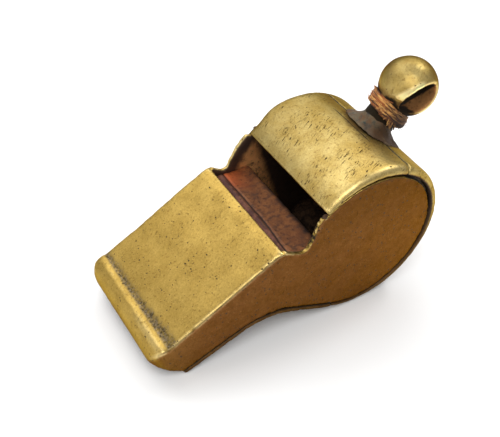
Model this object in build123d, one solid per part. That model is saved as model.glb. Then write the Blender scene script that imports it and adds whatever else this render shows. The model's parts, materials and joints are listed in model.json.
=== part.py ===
from build123d import *
import os
from math import acos, asin, atan2, ceil, cos, degrees, hypot, pi, radians, sin, tan

# An old brass pea whistle, in millimetres.
# It is drawn in side view: X runs from the mouthpiece's tip (minus) to the back of the drum (plus),
# Y is up, Z is across, and the drum's axis goes through the origin.
# The placing at the end stands it as it lies on a table, with Z up.

# Sheet brass and its seams
sheet = 0.75
seam_gap = 0.14
joint_gap = 0.08
seat_gap = 0.03

# Drum, with angles counted from straight back, upwards
whistle_width = 19.5
drum_radius = 11.8
lip_angle = 110.0
cross_seam_angle = 42.5
belly_angle = 45.0
belly_bend_radius = 10.0
band_edge_round = 0.5
lip_edge_round = 0.2

# Mouthpiece and cheeks
cheek_inset = 0.15
cheek_slack = 0.3
window_length = 7.1
lip_rise = 1.4
notch_angle = 143.0
notch_round = 0.8
window_edge_radius = 11.5
window_edge_turn = 2.0
top_slope = 8.9
top_length = 18.6
bead_height = 0.45
bead_step = 0.5
nose_radius = 2.6
front_lean = 2.8
tip_corner_radius = 2.4
fold_radius = 0.5
mouth_lip_drop = 0.9
mouth_ceiling_length = 3.6
tip_edge_round = 0.3

# Inner strip
floor_sheet = 0.6
windway_height = 1.5
ledge_length = 0.75
ramp_angle = 24.0
ramp_length = 5.0
ramp_dip = 0.2
ramp_heel_turn = 12.0
heel_length = 0.9
throat_length = 11.0
scoop_setback = 0.7

# Solder along the cheeks
solder_leg = 0.8
solder_end_turn = 3.0

# Lanyard loop on the back of the drum
loop_angle = 32.3
ball_radius = 4.05
ball_distance = 7.7
ball_neck_blend = 0.5
bore_radius = 2.1
bore_edge_round = 0.3
neck_radius = 2.05
spigot_radius = 1.5
foot_half_along = 2.7
foot_half_across = 4.35
foot_height = 1.6
foot_wall = 0.3
foot_waist_height = 0.65
foot_waist_along = 2.42
foot_waist_across = 2.85

# Twine wound on the neck
twine_diameter = 0.6
twine_pitch = 1.04
twine_half_turns = 3
twine_lift = 0.05
twine_foot_gap = 0.15

# Loose pea
pea_radius = 5.0
pea_clearance = 0.3

# Sizes worked out from those above
drum_inside = drum_radius - sheet
cheek_outside = whistle_width / 2 - cheek_inset
cheek_inside = cheek_outside - sheet
cheek_depth = sheet + seam_gap
half_joint_turn = degrees(joint_gap / 2 / drum_radius)
belly_turn = radians(belly_angle)
belly_joint_angle = -(90 + belly_angle)
bend_start = -(drum_radius + belly_bend_radius * (1 - cos(belly_turn))) / sin(belly_turn)
top_tilt = tan(radians(top_slope))
lip_point = (drum_radius * cos(radians(lip_angle)), drum_radius * sin(radians(lip_angle)))
rear_edge = (lip_point[0] - window_length, lip_point[1] - lip_rise)
groove_x = rear_edge[0] - top_length * cos(radians(top_slope))
far_out = 4 * drum_radius


def polar(radius, angle):
    """Point of the side view at a radius and an angle in degrees round the drum's axis."""
    return (radius * cos(radians(angle)), radius * sin(radians(angle)))


def top_y(x):
    """Height of the mouthpiece's flat top at x."""
    return rear_edge[1] + (x - rear_edge[0]) * top_tilt


def floor_y(x):
    """Height of the windway's floor at x."""
    return top_y(x) - (sheet + windway_height) / cos(radians(top_slope))


crest = (groove_x - bead_step, top_y(groove_x - bead_step) + bead_height)
nose_front = (crest[0] - nose_radius, crest[1] - nose_radius)
tip_bottom_x = nose_front[0] + front_lean


def polygon(points):
    """Flat face of the side view with straight sides."""
    return make_face(Polyline(*points, close=True))


def sector(inner, outer, start, end):
    """Flat ring piece between two radii, turning from start to end in degrees."""
    middle = (start + end) / 2
    return make_face(
        [
            ThreePointArc(polar(inner, start), polar(inner, middle), polar(inner, end)),
            Line(polar(inner, end), polar(outer, end)),
            ThreePointArc(polar(outer, end), polar(outer, middle), polar(outer, start)),
            Line(polar(outer, start), polar(inner, start)),
        ]
    )


def across(face, half_width):
    """Solid of a side-view face, as wide to both sides of the middle."""
    return extrude(face, amount=half_width, both=True)


def drum(radius):
    """Cylinder round the drum's axis, longer than the whistle is wide."""
    return Cylinder(radius, 2 * whistle_width)


def belly_points(depth):
    """Flat's end, bend's middle, bend's end and drum joint, depth inside the outer skin."""
    radius = belly_bend_radius + depth
    ends = []
    for turn in (0, belly_turn / 2, belly_turn):
        ends.append((bend_start + radius * sin(turn), radius * cos(turn) - belly_bend_radius))
    return ends + [polar(drum_radius - depth, belly_joint_angle)]


def belly_edges(depth, front):
    """Underside of the mouthpiece from its front to the drum joint, depth inside the outer skin."""
    flat_end, bend_middle, bend_end, drum_joint = belly_points(depth)
    return [
        Line((front, depth), flat_end),
        ThreePointArc(flat_end, bend_middle, bend_end),
        Line(bend_end, drum_joint),
    ]


def mouthpiece_shell():
    """Folded sheet: flat top with its bite lip, and the two cheeks."""
    disc_radius = drum_radius - cheek_depth
    disc_start = polar(disc_radius, belly_joint_angle)
    edge_angle = lip_angle + window_edge_turn
    disc_end = polar(disc_radius, edge_angle)
    disc_middle = polar(disc_radius - cheek_slack, (belly_joint_angle + edge_angle) / 2)
    edge_start = polar(window_edge_radius, edge_angle)
    edge_middle = polar(window_edge_radius, (edge_angle + notch_angle) / 2)
    notch = polar(window_edge_radius, notch_angle)
    nose_turn = radians(45)
    nose_middle = (crest[0] - nose_radius * sin(nose_turn), crest[1] - nose_radius * (1 - cos(nose_turn)))
    tip_bottom = (tip_bottom_x, cheek_depth)
    outline = [
        Line(rear_edge, (groove_x, top_y(groove_x))),
        Line((groove_x, top_y(groove_x)), crest),
        ThreePointArc(crest, nose_middle, nose_front),
        Line(nose_front, tip_bottom),
        *belly_edges(cheek_depth, tip_bottom_x),
        ThreePointArc(disc_start, disc_middle, disc_end),
        Line(disc_end, edge_start),
        ThreePointArc(edge_start, edge_middle, notch),
        Line(notch, rear_edge),
    ]
    body = across(make_face(outline), cheek_outside)
    corner = body.edges().filter_by(Axis.Z).sort_by_distance((*notch, 0))[0]
    body = fillet(corner, notch_round)
    plan = Pos(nose_front[0] + far_out / 2, 0, 0) * Box(far_out, far_out, 2 * cheek_outside)
    plan = fillet(plan.edges().filter_by(Axis.Y).sort_by(Axis.X)[:2], tip_corner_radius)
    body = body & plan
    folds = []
    for edge in body.edges():
        middle = edge.center()
        on_side = abs(middle.Z) > cheek_outside - tip_corner_radius
        on_top = abs(middle.Y - top_y(middle.X)) < seat_gap
        on_bead = middle.X < groove_x and middle.Y > nose_front[1]
        if on_side and (on_top or on_bead):
            folds.append(edge)
    body = fillet(folds, fold_radius)
    lean = (nose_front[1] - cheek_depth) / front_lean
    mouth_lip = (nose_front[0] + mouth_lip_drop / lean, nose_front[1] - mouth_lip_drop)
    ceiling_x = mouth_lip[0] + mouth_ceiling_length
    under = sheet / cos(radians(top_slope))
    cavity = [
        (-far_out, mouth_lip[1]),
        mouth_lip,
        (ceiling_x, top_y(ceiling_x) - under),
        (rear_edge[0], rear_edge[1] - under),
        (rear_edge[0], far_out),
        (far_out, far_out),
        (far_out, -far_out),
        (-far_out, -far_out),
    ]
    return body - across(polygon(cavity), cheek_inside)


def rounded_rims(band):
    """Band with its two outer rims rounded."""
    rims = [
        edge
        for edge in band.edges().filter_by(GeomType.CIRCLE)
        if abs(edge.radius - drum_radius) < seat_gap and abs(edge.center().Z) > cheek_inside
    ]
    return fillet(rims, band_edge_round)


def barrel_lip_band():
    """Strip over the drum from the lip to the cross seam."""
    face = sector(drum_inside, drum_radius, cross_seam_angle + half_joint_turn, lip_angle)
    band = rounded_rims(across(face, whistle_width / 2))
    lip = band.edges().filter_by(Axis.Z).sort_by(Axis.X)[0]
    return fillet(lip, lip_edge_round)


def loop_frame():
    """Placing that turns the upright loop to its angle on the drum."""
    return Rot(0, 0, loop_angle - 90)


def barrel_back_band():
    """Strip from the cross seam round the back to the joint under the drum."""
    start = belly_joint_angle + half_joint_turn
    face = sector(drum_inside, drum_radius, start, cross_seam_angle - half_joint_turn)
    hole = Pos(0, drum_radius, 0) * Rot(90, 0, 0) * Cylinder(spigot_radius + seat_gap, drum_radius)
    return rounded_rims(across(face, whistle_width / 2)) - loop_frame() * hole


def mouthpiece_bottom_plate():
    """Strip under the mouthpiece, bent down to meet the drum."""
    inner = belly_edges(sheet, tip_bottom_x)
    outer = belly_edges(0, tip_bottom_x)
    joint = Line(outer[2] @ 1, inner[2] @ 1)
    front = Line((tip_bottom_x, sheet), (tip_bottom_x, 0))
    plate = across(make_face([*inner, *outer, joint, front]), whistle_width / 2)
    tip = plate.edges().filter_by(Axis.Z).group_by(Axis.X)[0].sort_by(Axis.Y)[0]
    plate = fillet(tip, tip_edge_round)
    skin = [edge.center() for edge in outer]
    rims = [
        edge
        for edge in plate.edges()
        if abs(abs(edge.center().Z) - whistle_width / 2) < seat_gap
        and min(hypot(edge.center().X - point.X, edge.center().Y - point.Y) for point in skin) < tip_edge_round
    ]
    return fillet(rims, band_edge_round)


ledge_end = (rear_edge[0] + ledge_length, floor_y(rear_edge[0] + ledge_length))
ramp_end = (
    ledge_end[0] + ramp_length * cos(radians(ramp_angle)),
    ledge_end[1] - ramp_length * sin(radians(ramp_angle)),
)
ramp_under = (
    ramp_end[0] - floor_sheet * sin(radians(ramp_angle)),
    ramp_end[1] - floor_sheet * cos(radians(ramp_angle)),
)
ramp_end_angle = degrees(atan2(ramp_end[1], ramp_end[0]))


def airway_floor():
    """Inner strip: scoop, windway floor, ledge, ramp and the chamber's front wall."""
    heel_angle = ramp_end_angle + ramp_heel_turn
    back_radius = drum_inside + floor_sheet
    foot_turn = degrees(acos((drum_inside - joint_gap) / back_radius))
    wall = sector(drum_inside, back_radius, heel_angle, 360 + belly_joint_angle - foot_turn)
    heel_x = ledge_end[0] - heel_length
    under = floor_sheet / cos(radians(top_slope))
    ramp_middle = (
        (ledge_end[0] + ramp_end[0]) / 2 - ramp_dip * sin(radians(ramp_angle)),
        (ledge_end[1] + ramp_end[1]) / 2 - ramp_dip * cos(radians(ramp_angle)),
    )
    underside = Polyline(
        ramp_end,
        ramp_under,
        polar(drum_inside, heel_angle),
        polar(back_radius, heel_angle),
        (heel_x, floor_y(heel_x) - under),
        (heel_x, floor_y(heel_x)),
        ledge_end,
    )
    ramp = make_face([ThreePointArc(ledge_end, ramp_middle, ramp_end), *underside.edges()])
    throat_x = rear_edge[0] - throat_length
    throat = (throat_x, floor_y(throat_x))
    rest_y = sheet + joint_gap
    mouth = (tip_bottom_x + scoop_setback, rest_y + floor_sheet)
    scoop = atan2(throat[1] - mouth[1], throat[0] - mouth[0])
    shift = (floor_sheet * sin(scoop), -floor_sheet * cos(scoop))
    knee_turn = (scoop + radians(top_slope)) / 2
    knee = floor_sheet / cos(scoop - knee_turn)
    plate = polygon(
        [
            (heel_x, floor_y(heel_x)),
            throat,
            mouth,
            (mouth[0], rest_y),
            (mouth[0] + shift[0] - (floor_sheet + shift[1]) / tan(scoop), rest_y),
            (throat[0] + knee * sin(knee_turn), throat[1] - knee * cos(knee_turn)),
            (heel_x, floor_y(heel_x) - under),
        ]
    )
    return across(plate + ramp + wall, cheek_inside - joint_gap)


def cheek_solder():
    """Solder run in the corner between a cheek and the bands, on the plus side."""
    start = belly_joint_angle + solder_end_turn
    corner = [
        (drum_inside, 0, cheek_inside),
        (drum_inside - solder_leg, 0, cheek_inside),
        (drum_inside, 0, cheek_inside - solder_leg),
    ]
    bead = make_face(Polyline(*corner, close=True))
    return Rot(0, 0, start) * revolve(bead, Axis.Z, lip_angle - solder_end_turn - start)


def lanyard_loop():
    """Bored ball on a neck, with a spigot through the band."""
    ball_y = drum_radius + ball_distance
    ball = Pos(0, ball_y, 0) * Sphere(ball_radius)
    neck_length = ball_distance + sheet
    upright = Pos(0, ball_y - neck_length / 2, 0) * Rot(90, 0, 0)
    loop = ball + upright * Cylinder(neck_radius, neck_length)
    rings = [edge for edge in loop.edges().filter_by(GeomType.CIRCLE) if abs(edge.radius - neck_radius) < seat_gap]
    loop = fillet(ShapeList(rings).sort_by(Axis.Y)[-1], ball_neck_blend)
    loop -= drum(drum_radius + seat_gap)
    loop += upright * Cylinder(spigot_radius, neck_length) - drum(drum_inside)
    loop -= Pos(0, ball_y, 0) * Cylinder(bore_radius, 4 * ball_radius)
    rims = [
        edge
        for edge in loop.edges().filter_by(GeomType.CIRCLE)
        if abs(edge.radius - bore_radius) < seat_gap and edge.center().Y > drum_radius
    ]
    return loop_frame() * fillet(rims, bore_edge_round)


def loop_solder():
    """Flared solder foot round the loop's neck, longer across the drum than along it."""
    lowest = (drum_radius**2 - foot_half_along**2) ** 0.5
    lying = Rot(-90, 0, 0)
    sections = [
        Pos(0, lowest, 0) * lying * Ellipse(foot_half_along, foot_half_across),
        Pos(0, drum_radius + foot_waist_height, 0) * lying * Ellipse(foot_waist_along, foot_waist_across),
        Pos(0, drum_radius + foot_height, 0) * lying * Circle(neck_radius + foot_wall),
    ]
    foot = loft(sections) - drum(drum_radius + seat_gap)
    neck = Pos(0, drum_radius, 0) * Rot(90, 0, 0) * Cylinder(neck_radius + seat_gap, 2 * ball_distance)
    return loop_frame() * (foot - neck)


def helix_point(turn):
    """Point of the twine's middle line after a number of turns round the upright neck."""
    radius = neck_radius + twine_lift + twine_diameter / 2
    start_y = drum_radius + foot_height + twine_foot_gap + twine_diameter / 2
    return Vector(radius * cos(2 * pi * turn), start_y + twine_pitch * turn, radius * sin(2 * pi * turn))


def helix_direction(turn):
    """Unit direction of the twine's middle line there."""
    radius = neck_radius + twine_lift + twine_diameter / 2
    along = 2 * pi * radius
    return Vector(-along * sin(2 * pi * turn), twine_pitch, along * cos(2 * pi * turn)).normalized()


def biarc(start, start_direction, end, end_direction):
    """Two arcs that leave start and reach end in the given directions."""
    chord = end - start
    both = start_direction + end_direction
    a = 2 * (1 - start_direction.dot(end_direction))
    b = 2 * chord.dot(both)
    reach = (-b + (b * b + 4 * a * chord.dot(chord)) ** 0.5) / (2 * a)
    meeting = (start + start_direction * reach + end - end_direction * reach) / 2
    first = TangentArc(start, meeting, tangent=start_direction)
    second = TangentArc(meeting, end, tangent=first % 1)
    return [first, second]


def twine_gap(path):
    """Least open gap between the twine and itself, measured on points of its middle line."""
    count = ceil(path.length / (twine_diameter / 4))
    points = [path @ (index / count) for index in range(count + 1)]
    apart = ceil(pi * neck_radius / (path.length / count))
    gaps = [(a - b).length for i, a in enumerate(points) for b in points[i + apart:]]
    return min(gaps) - twine_diameter


def neck_twine():
    """Twine wound on the loop's neck, one unbroken tube with straight ends."""
    turns = [half / 2 for half in range(twine_half_turns + 1)]
    first = helix_point(turns[0])
    last = helix_point(turns[-1])
    edges = [Line(first - helix_direction(turns[0]) * twine_diameter, first)]
    for here, there in zip(turns, turns[1:]):
        edges += biarc(helix_point(here), helix_direction(here), helix_point(there), helix_direction(there))
    edges.append(Line(last, last + helix_direction(turns[-1]) * twine_diameter))
    path = Wire(edges)
    print(f"twine: length {path.length:.2f}, least gap to itself {twine_gap(path):.2f}")
    section = Plane(origin=path @ 0, z_dir=path % 0) * Circle(twine_diameter / 2)
    return loop_frame() * sweep(section, path=path)


# How it lies: on the drum and on the rounded lower edge of the mouthpiece's tip
tip_edge = (tip_bottom_x + tip_edge_round, tip_edge_round)
rest_tilt = degrees(asin((drum_radius - tip_edge_round) / hypot(*tip_edge)) + atan2(tip_edge[1], -tip_edge[0]))

# Circle that the pea's outside sweeps: the largest one that touches the drum's lowest wall and clears the ramp
down = polar(1, -90 - rest_tilt)
whirl_offset = max(
    (drum_inside**2 - x * x - y * y) / 2 / (drum_inside - x * down[0] - y * down[1])
    for x, y in (ramp_end, ramp_under)
)
whirl_radius = drum_inside - whirl_offset - pea_clearance - pea_radius
whirl_centre = (whirl_offset * down[0], whirl_offset * down[1])


def cork_pea():
    """Loose pea at the lowest point of its whirl."""
    lowest = whirl_offset + whirl_radius
    return Pos(lowest * down[0], lowest * down[1], 0) * Sphere(pea_radius)


plus_solder = cheek_solder()
nodes = {
    "mouthpiece_shell": mouthpiece_shell(),
    "barrel_lip_band": barrel_lip_band(),
    "barrel_back_band": barrel_back_band(),
    "mouthpiece_bottom_plate": mouthpiece_bottom_plate(),
    "airway_floor": airway_floor(),
    "near_cheek_solder": plus_solder,
    "far_cheek_solder": mirror(plus_solder, Plane.XY),
    "lanyard_loop": lanyard_loop(),
    "loop_solder": loop_solder(),
    "neck_twine": neck_twine(),
    "cork_pea": cork_pea(),
}

# Stand it on the table, with the middle of its length at the origin
lying = Pos(0, 0, drum_radius) * Rot(0, -rest_tilt, 0) * Rot(90, 0, 0)
box = Compound([lying * node for node in nodes.values()]).bounding_box()
placing = Pos(-(box.min.X + box.max.X) / 2, 0, 0) * lying
os.makedirs("parts", exist_ok=True)
for name, node in nodes.items():
    export_step(placing * node, f"parts/{name}.step")

bore_middle = placing * Pos(*polar(drum_radius + ball_distance, loop_angle), 0)
whirl_middle = placing * Pos(*whirl_centre, 0)
print(f"rest tilt {rest_tilt:.3f}")
print(f"bore middle {tuple(bore_middle.position)}")
print(f"whirl middle {tuple(whirl_middle.position)}, radius {whirl_radius:.3f}")
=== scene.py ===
"""Looks of an old brass pea whistle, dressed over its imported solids.

Fields are in millimetres and degrees unless their name says otherwise. Meshes are in metres.
The side view is the X-Z plane: the mouthpiece points to -X, and the near cheek faces -Y.
A Fade is a pair: the value at which something starts, and the value at which it is complete.
A Span is any other pair of values that belong together.
"""

import json
import logging
import math
import random
from dataclasses import dataclass
from enum import Enum
from typing import Dict, List, Optional, Tuple, Union

import bmesh
import bpy
import numpy as np
from mathutils import Matrix, Vector, noise
from mathutils.bvhtree import BVHTree


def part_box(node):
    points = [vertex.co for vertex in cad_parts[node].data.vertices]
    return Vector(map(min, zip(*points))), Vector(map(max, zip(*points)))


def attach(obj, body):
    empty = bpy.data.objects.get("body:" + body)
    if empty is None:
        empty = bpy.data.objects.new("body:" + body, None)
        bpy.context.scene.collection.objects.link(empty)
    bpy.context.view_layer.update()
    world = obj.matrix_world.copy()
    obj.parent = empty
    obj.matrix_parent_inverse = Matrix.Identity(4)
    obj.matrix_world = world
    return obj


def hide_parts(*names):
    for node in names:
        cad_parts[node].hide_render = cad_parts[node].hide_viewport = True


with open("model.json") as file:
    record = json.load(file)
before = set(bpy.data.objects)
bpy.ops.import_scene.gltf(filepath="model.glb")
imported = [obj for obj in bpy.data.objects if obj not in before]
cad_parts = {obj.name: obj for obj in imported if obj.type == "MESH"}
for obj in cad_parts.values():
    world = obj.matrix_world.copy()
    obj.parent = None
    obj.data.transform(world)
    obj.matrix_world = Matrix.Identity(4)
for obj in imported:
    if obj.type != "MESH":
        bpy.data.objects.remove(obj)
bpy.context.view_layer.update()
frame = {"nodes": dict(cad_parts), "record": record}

Socket = bpy.types.NodeSocket
Value = Union[Socket, float]
Triple = Tuple[float, float, float]
Colour = Triple
Tint = Union[Socket, Colour]
Filling = Union[Socket, float, Triple]
Fade = Tuple[float, float]
Span = Tuple[float, float]
Numbers = np.ndarray
Mesh = bpy.types.Mesh
Material = bpy.types.Material
Piece = bpy.types.Object

MM = 0.001
# How far a sharp edge's points stand out from their neighbours, in spacings.
SHARP_BULGE = 0.14
LOG = logging.getLogger("whistle")


class Zone(Enum):
    """Which stretch of brass a finish goes on."""

    SHELL = "shell"
    DRUM = "drum"
    PLATE = "plate"
    LOOP = "loop"


@dataclass(frozen=True)
class Layout:
    """Places and sizes that the pieces share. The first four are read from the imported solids.

    Attributes:
        drum: Middle of the drum in the side view, as x and z.
        drum_radius: Outside radius of the drum.
        ball: Middle of the lanyard ball.
        width: Width across the drum's rims.
        ball_radius: Radius of the lanyard ball.
        lean: How far the loop's bent neck strays for each millimetre below the ball's middle.
        sheet: Thickness of the brass sheet.
        plate_tilt: Tilt of the mouthpiece's flat top.
        crest: Edge of the ledge in the window, from the drum's middle.
        crest_skew: How far that edge is moved at the near side.
        crest_bend: Where, across, it starts to move and is fully moved.
    """

    drum: Span
    drum_radius: float
    ball: Vector
    width: float
    ball_radius: float = 4.05
    lean: Vector = Vector((-0.05, 0.0875, 0.03))
    sheet: float = 0.75
    plate_tilt: float = 32.4
    crest: float = -12.0
    crest_skew: float = -0.55
    crest_bend: Fade = (-1.0, -9.0)

    @classmethod
    def read(cls) -> "Layout":
        """Works the places out from the boxes of the bands and the bore's mount.

        Returns:
            The layout.
        """
        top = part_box("barrel_lip_band")[1]
        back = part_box("barrel_back_band")[1]
        radius = top.z / 2 / MM
        bore = next(m for m in frame["record"]["mounts"] if m["name"] == "lanyard_bore")
        return cls((back.x / MM - radius, radius), radius, Vector(bore["pos_m"]) / MM, 2 * back.y / MM)

    @property
    def axis(self) -> Vector:
        """Middle of the drum as a point."""
        return Vector((self.drum[0], 0, self.drum[1]))

    @property
    def loop_direction(self) -> Vector:
        """Direction from the drum's middle to the ball."""
        return (self.ball - self.axis).normalized()

    @property
    def ball_height(self) -> float:
        """Distance from the drum's axis to the ball's middle."""
        return (self.ball - self.axis).length


@dataclass(frozen=True)
class Patches:
    """Cloudy pattern on a surface.

    Attributes:
        scale: Lumps per millimetre.
        detail: Layers of finer lumps.
        rough: Strength of the finer lumps.
        fade: Noise levels between which a patch appears.
        share: How much a whole patch covers.
    """

    scale: float
    detail: float = 3.0
    rough: float = 0.55
    fade: Fade = (0.0, 1.0)
    share: float = 1.0


class Graph:
    """Node tree of one material, with its pattern space in millimetres."""

    def __init__(self, name: str) -> None:
        """Starts a material with one principled shader.

        Args:
            name: Name of the material.
        """
        self.material = bpy.data.materials.new(name)
        self.material.use_nodes = True
        self.tree = self.material.node_tree
        self.tree.nodes.clear()
        output = self.node("ShaderNodeOutputMaterial")
        self.shader = self.node("ShaderNodeBsdfPrincipled")
        self.tree.links.new(self.shader.outputs[0], output.inputs["Surface"])
        coordinates = self.node("ShaderNodeTexCoord")
        self.normal = coordinates.outputs["Normal"]
        self.place = self.scaled(coordinates.outputs["Object"], 1 / MM)

    def node(self, kind: str, **settings: object) -> bpy.types.Node:
        """Adds a node.

        Args:
            kind: Node's type.
            settings: Node's properties.

        Returns:
            The node.
        """
        made = self.tree.nodes.new(kind)
        for key, value in settings.items():
            setattr(made, key, value)
        return made

    def put(self, socket: Socket, value: Filling) -> None:
        """Links a socket to another one, or gives it a plain value.

        Args:
            socket: Input to fill.
            value: Output to link, number, vector or colour.
        """
        if isinstance(value, bpy.types.NodeSocket):
            self.tree.links.new(value, socket)
        elif isinstance(value, (int, float)) or socket.type == "VECTOR":
            socket.default_value = value
        else:
            socket.default_value = (*value, 1.0)

    def set(self, **sockets: Filling) -> None:
        """Fills the principled shader's sockets, named with underscores for spaces."""
        for name, value in sockets.items():
            self.put(self.shader.inputs[name.replace("_", " ")], value)

    def math(self, operation: str, *terms: Value) -> Socket:
        """One arithmetic step.

        Args:
            operation: Its name.
            terms: Its inputs.

        Returns:
            The result.
        """
        made = self.node("ShaderNodeMath", operation=operation)
        for socket, term in zip(made.inputs, terms):
            self.put(socket, term)
        return made.outputs[0]

    def vector(self, operation: str, *terms: Filling) -> Socket:
        """One vector step.

        Args:
            operation: Its name.
            terms: Its inputs.

        Returns:
            A vector or, for DOT_PRODUCT and LENGTH, a number.
        """
        made = self.node("ShaderNodeVectorMath", operation=operation)
        sockets = (made.inputs[0], made.inputs["Scale" if operation == "SCALE" else 1])
        for socket, term in zip(sockets, terms):
            self.put(socket, term)
        return made.outputs["Value" if operation in ("DOT_PRODUCT", "LENGTH") else "Vector"]

    def fold(self, operation: str, terms: Tuple[Value, ...]) -> Value:
        """Joins several values by one kind of step.

        Args:
            operation: Name of the step.
            terms: Values to join.

        Returns:
            The result.
        """
        found = terms[0]
        for term in terms[1:]:
            found = self.math(operation, found, term)
        return found

    def total(self, *terms: Value) -> Value:
        """Sum of several values."""
        return self.fold("ADD", terms)

    def product(self, *terms: Value) -> Value:
        """Product of several values."""
        return self.fold("MULTIPLY", terms)

    def most(self, *terms: Value) -> Value:
        """Largest of several values."""
        return self.fold("MAXIMUM", terms)

    def linear(self, value: Value, slope: float, start: float) -> Socket:
        """Value times slope, plus start."""
        return self.math("MULTIPLY_ADD", value, slope, start)

    def swing(self, value: Value, reach: float) -> Socket:
        """Noise from 0 to 1 as a swing of reach to either side of 0."""
        return self.linear(value, 2 * reach, -reach)

    def scaled(self, vector: Socket, factor: Value) -> Socket:
        """Colour or vector times a number."""
        return self.vector("SCALE", vector, factor)

    def part(self, vector: Socket, letter: str) -> Socket:
        """One coordinate of a vector, X, Y or Z."""
        made = self.node("ShaderNodeSeparateXYZ")
        self.put(made.inputs[0], vector)
        return made.outputs[letter]

    def along(self, letter: str, start: float = 0.0) -> Socket:
        """Place along an axis, from a start."""
        return self.linear(self.part(self.place, letter), 1.0, -start)

    def off(self, point: Vector) -> Socket:
        """Way from a point, as a vector."""
        return self.vector("SUBTRACT", self.place, tuple(point))

    def facing(self, letter: str) -> Socket:
        """How far the surface looks along an axis."""
        return self.part(self.normal, letter)

    def smooth(self, value: Value, start: float, full: float) -> Socket:
        """Soft step.

        Args:
            value: What the step goes by.
            start: Value at which the step is 0.
            full: Value at which it is 1, which may be the lesser of the two.

        Returns:
            The step.
        """
        made = self.node("ShaderNodeMapRange", interpolation_type="SMOOTHSTEP")
        self.put(made.inputs["Value"], value)
        falling = start > full
        made.inputs["From Min"].default_value = min(start, full)
        made.inputs["From Max"].default_value = max(start, full)
        made.inputs["To Min"].default_value = float(falling)
        made.inputs["To Max"].default_value = float(not falling)
        return made.outputs[0]

    def mix(self, share: Value, a: Tint, b: Tint) -> Socket:
        """Mixes two colours.

        Args:
            share: Share of the second.
            a: First colour.
            b: Second colour.

        Returns:
            The mixed colour.
        """
        made = self.node("ShaderNodeMix", data_type="RGBA")
        for number, value in ((0, share), (6, a), (7, b)):
            self.put(made.inputs[number], value)
        return made.outputs[2]

    def noise(self, kind: Patches, place: Optional[Socket] = None) -> Socket:
        """Cloudy noise from 0 to 1.

        Args:
            kind: Its lumps.
            place: Its pattern space, if not the usual one.

        Returns:
            The noise.
        """
        made = self.node("ShaderNodeTexNoise")
        self.put(made.inputs["Vector"], place or self.place)
        made.inputs["Scale"].default_value = kind.scale
        made.inputs["Detail"].default_value = kind.detail
        made.inputs["Roughness"].default_value = kind.rough
        return made.outputs[0]

    def patches(self, kind: Patches, place: Optional[Socket] = None) -> Socket:
        """Cloudy patches, 0 between them and up to their share within."""
        return self.product(self.smooth(self.noise(kind, place), *kind.fade), kind.share)

    def cells(self, scale: float, place: Socket) -> Tuple[Socket, Socket]:
        """Scattered points.

        Args:
            scale: Points per millimetre.
            place: Their pattern space.

        Returns:
            Distance to the nearest point, and a random vector of that point's own.
        """
        made = self.node("ShaderNodeTexVoronoi")
        self.put(made.inputs["Vector"], place)
        made.inputs["Scale"].default_value = scale
        return made.outputs["Distance"], made.outputs["Color"]

    def stretched(self, scale: Triple, turn: float = 0.0) -> Socket:
        """Pattern space that is turned about Z and then scaled along its own axes.

        Args:
            scale: Growth along each axis.
            turn: Angle.

        Returns:
            The space.
        """
        made = self.node("ShaderNodeMapping", vector_type="TEXTURE")
        self.put(made.inputs["Vector"], self.place)
        made.inputs["Rotation"].default_value = (0.0, 0.0, math.radians(turn))
        made.inputs["Scale"].default_value = scale
        return made.outputs[0]

    def attribute(self, name: str) -> Socket:
        """Number written on the piece's points."""
        return self.node("ShaderNodeAttribute", attribute_name=name).outputs["Fac"]

    def bump(self, height: Socket, depth: float, strength: float) -> None:
        """Roughens the shader's normal.

        Args:
            height: Height of the surface.
            depth: Millimetres that a height of 1 stands for.
            strength: Strength of the roughening.
        """
        made = self.node("ShaderNodeBump")
        made.inputs["Strength"].default_value = strength
        made.inputs["Distance"].default_value = depth * MM
        self.put(made.inputs["Height"], height)
        self.put(self.shader.inputs["Normal"], made.outputs[0])


@dataclass(frozen=True)
class ZoneWear:
    """How one zone of the brass is worn.

    Attributes:
        scratched: Strength of the hairlines.
        pitted: Number of pits, as a share of the usual.
        reached: How far up a face looks where hands rub its edges, or None if they reach all of them.
        inside_painted_light: Brightness of the tarnish inside, raised as painted light in the shell and
            lowered as painted
        shade in the drum.
        edge_tint: Tint of the metal seen at a flat angle.
        roughness: Extra roughness.
    """

    scratched: float
    pitted: float
    reached: Optional[Fade]
    inside_painted_light: float
    edge_tint: Colour
    roughness: float = 0.0


ZONE_WEAR: Dict[Zone, ZoneWear] = {
    Zone.SHELL: ZoneWear(0.4, 1.15, (-0.1, 0.4), 2.9, (0.55, 0.47, 0.32)),
    Zone.DRUM: ZoneWear(1.0, 1.0, (0.25, 0.8), 0.5, (0.66, 0.50, 0.26)),
    Zone.PLATE: ZoneWear(0.4, 1.0, (-0.1, 0.4), 2.9, (0.55, 0.47, 0.32)),
    Zone.LOOP: ZoneWear(0.4, 0.6, None, 1.0, (0.19, 0.115, 0.038), 0.03),
}


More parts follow.
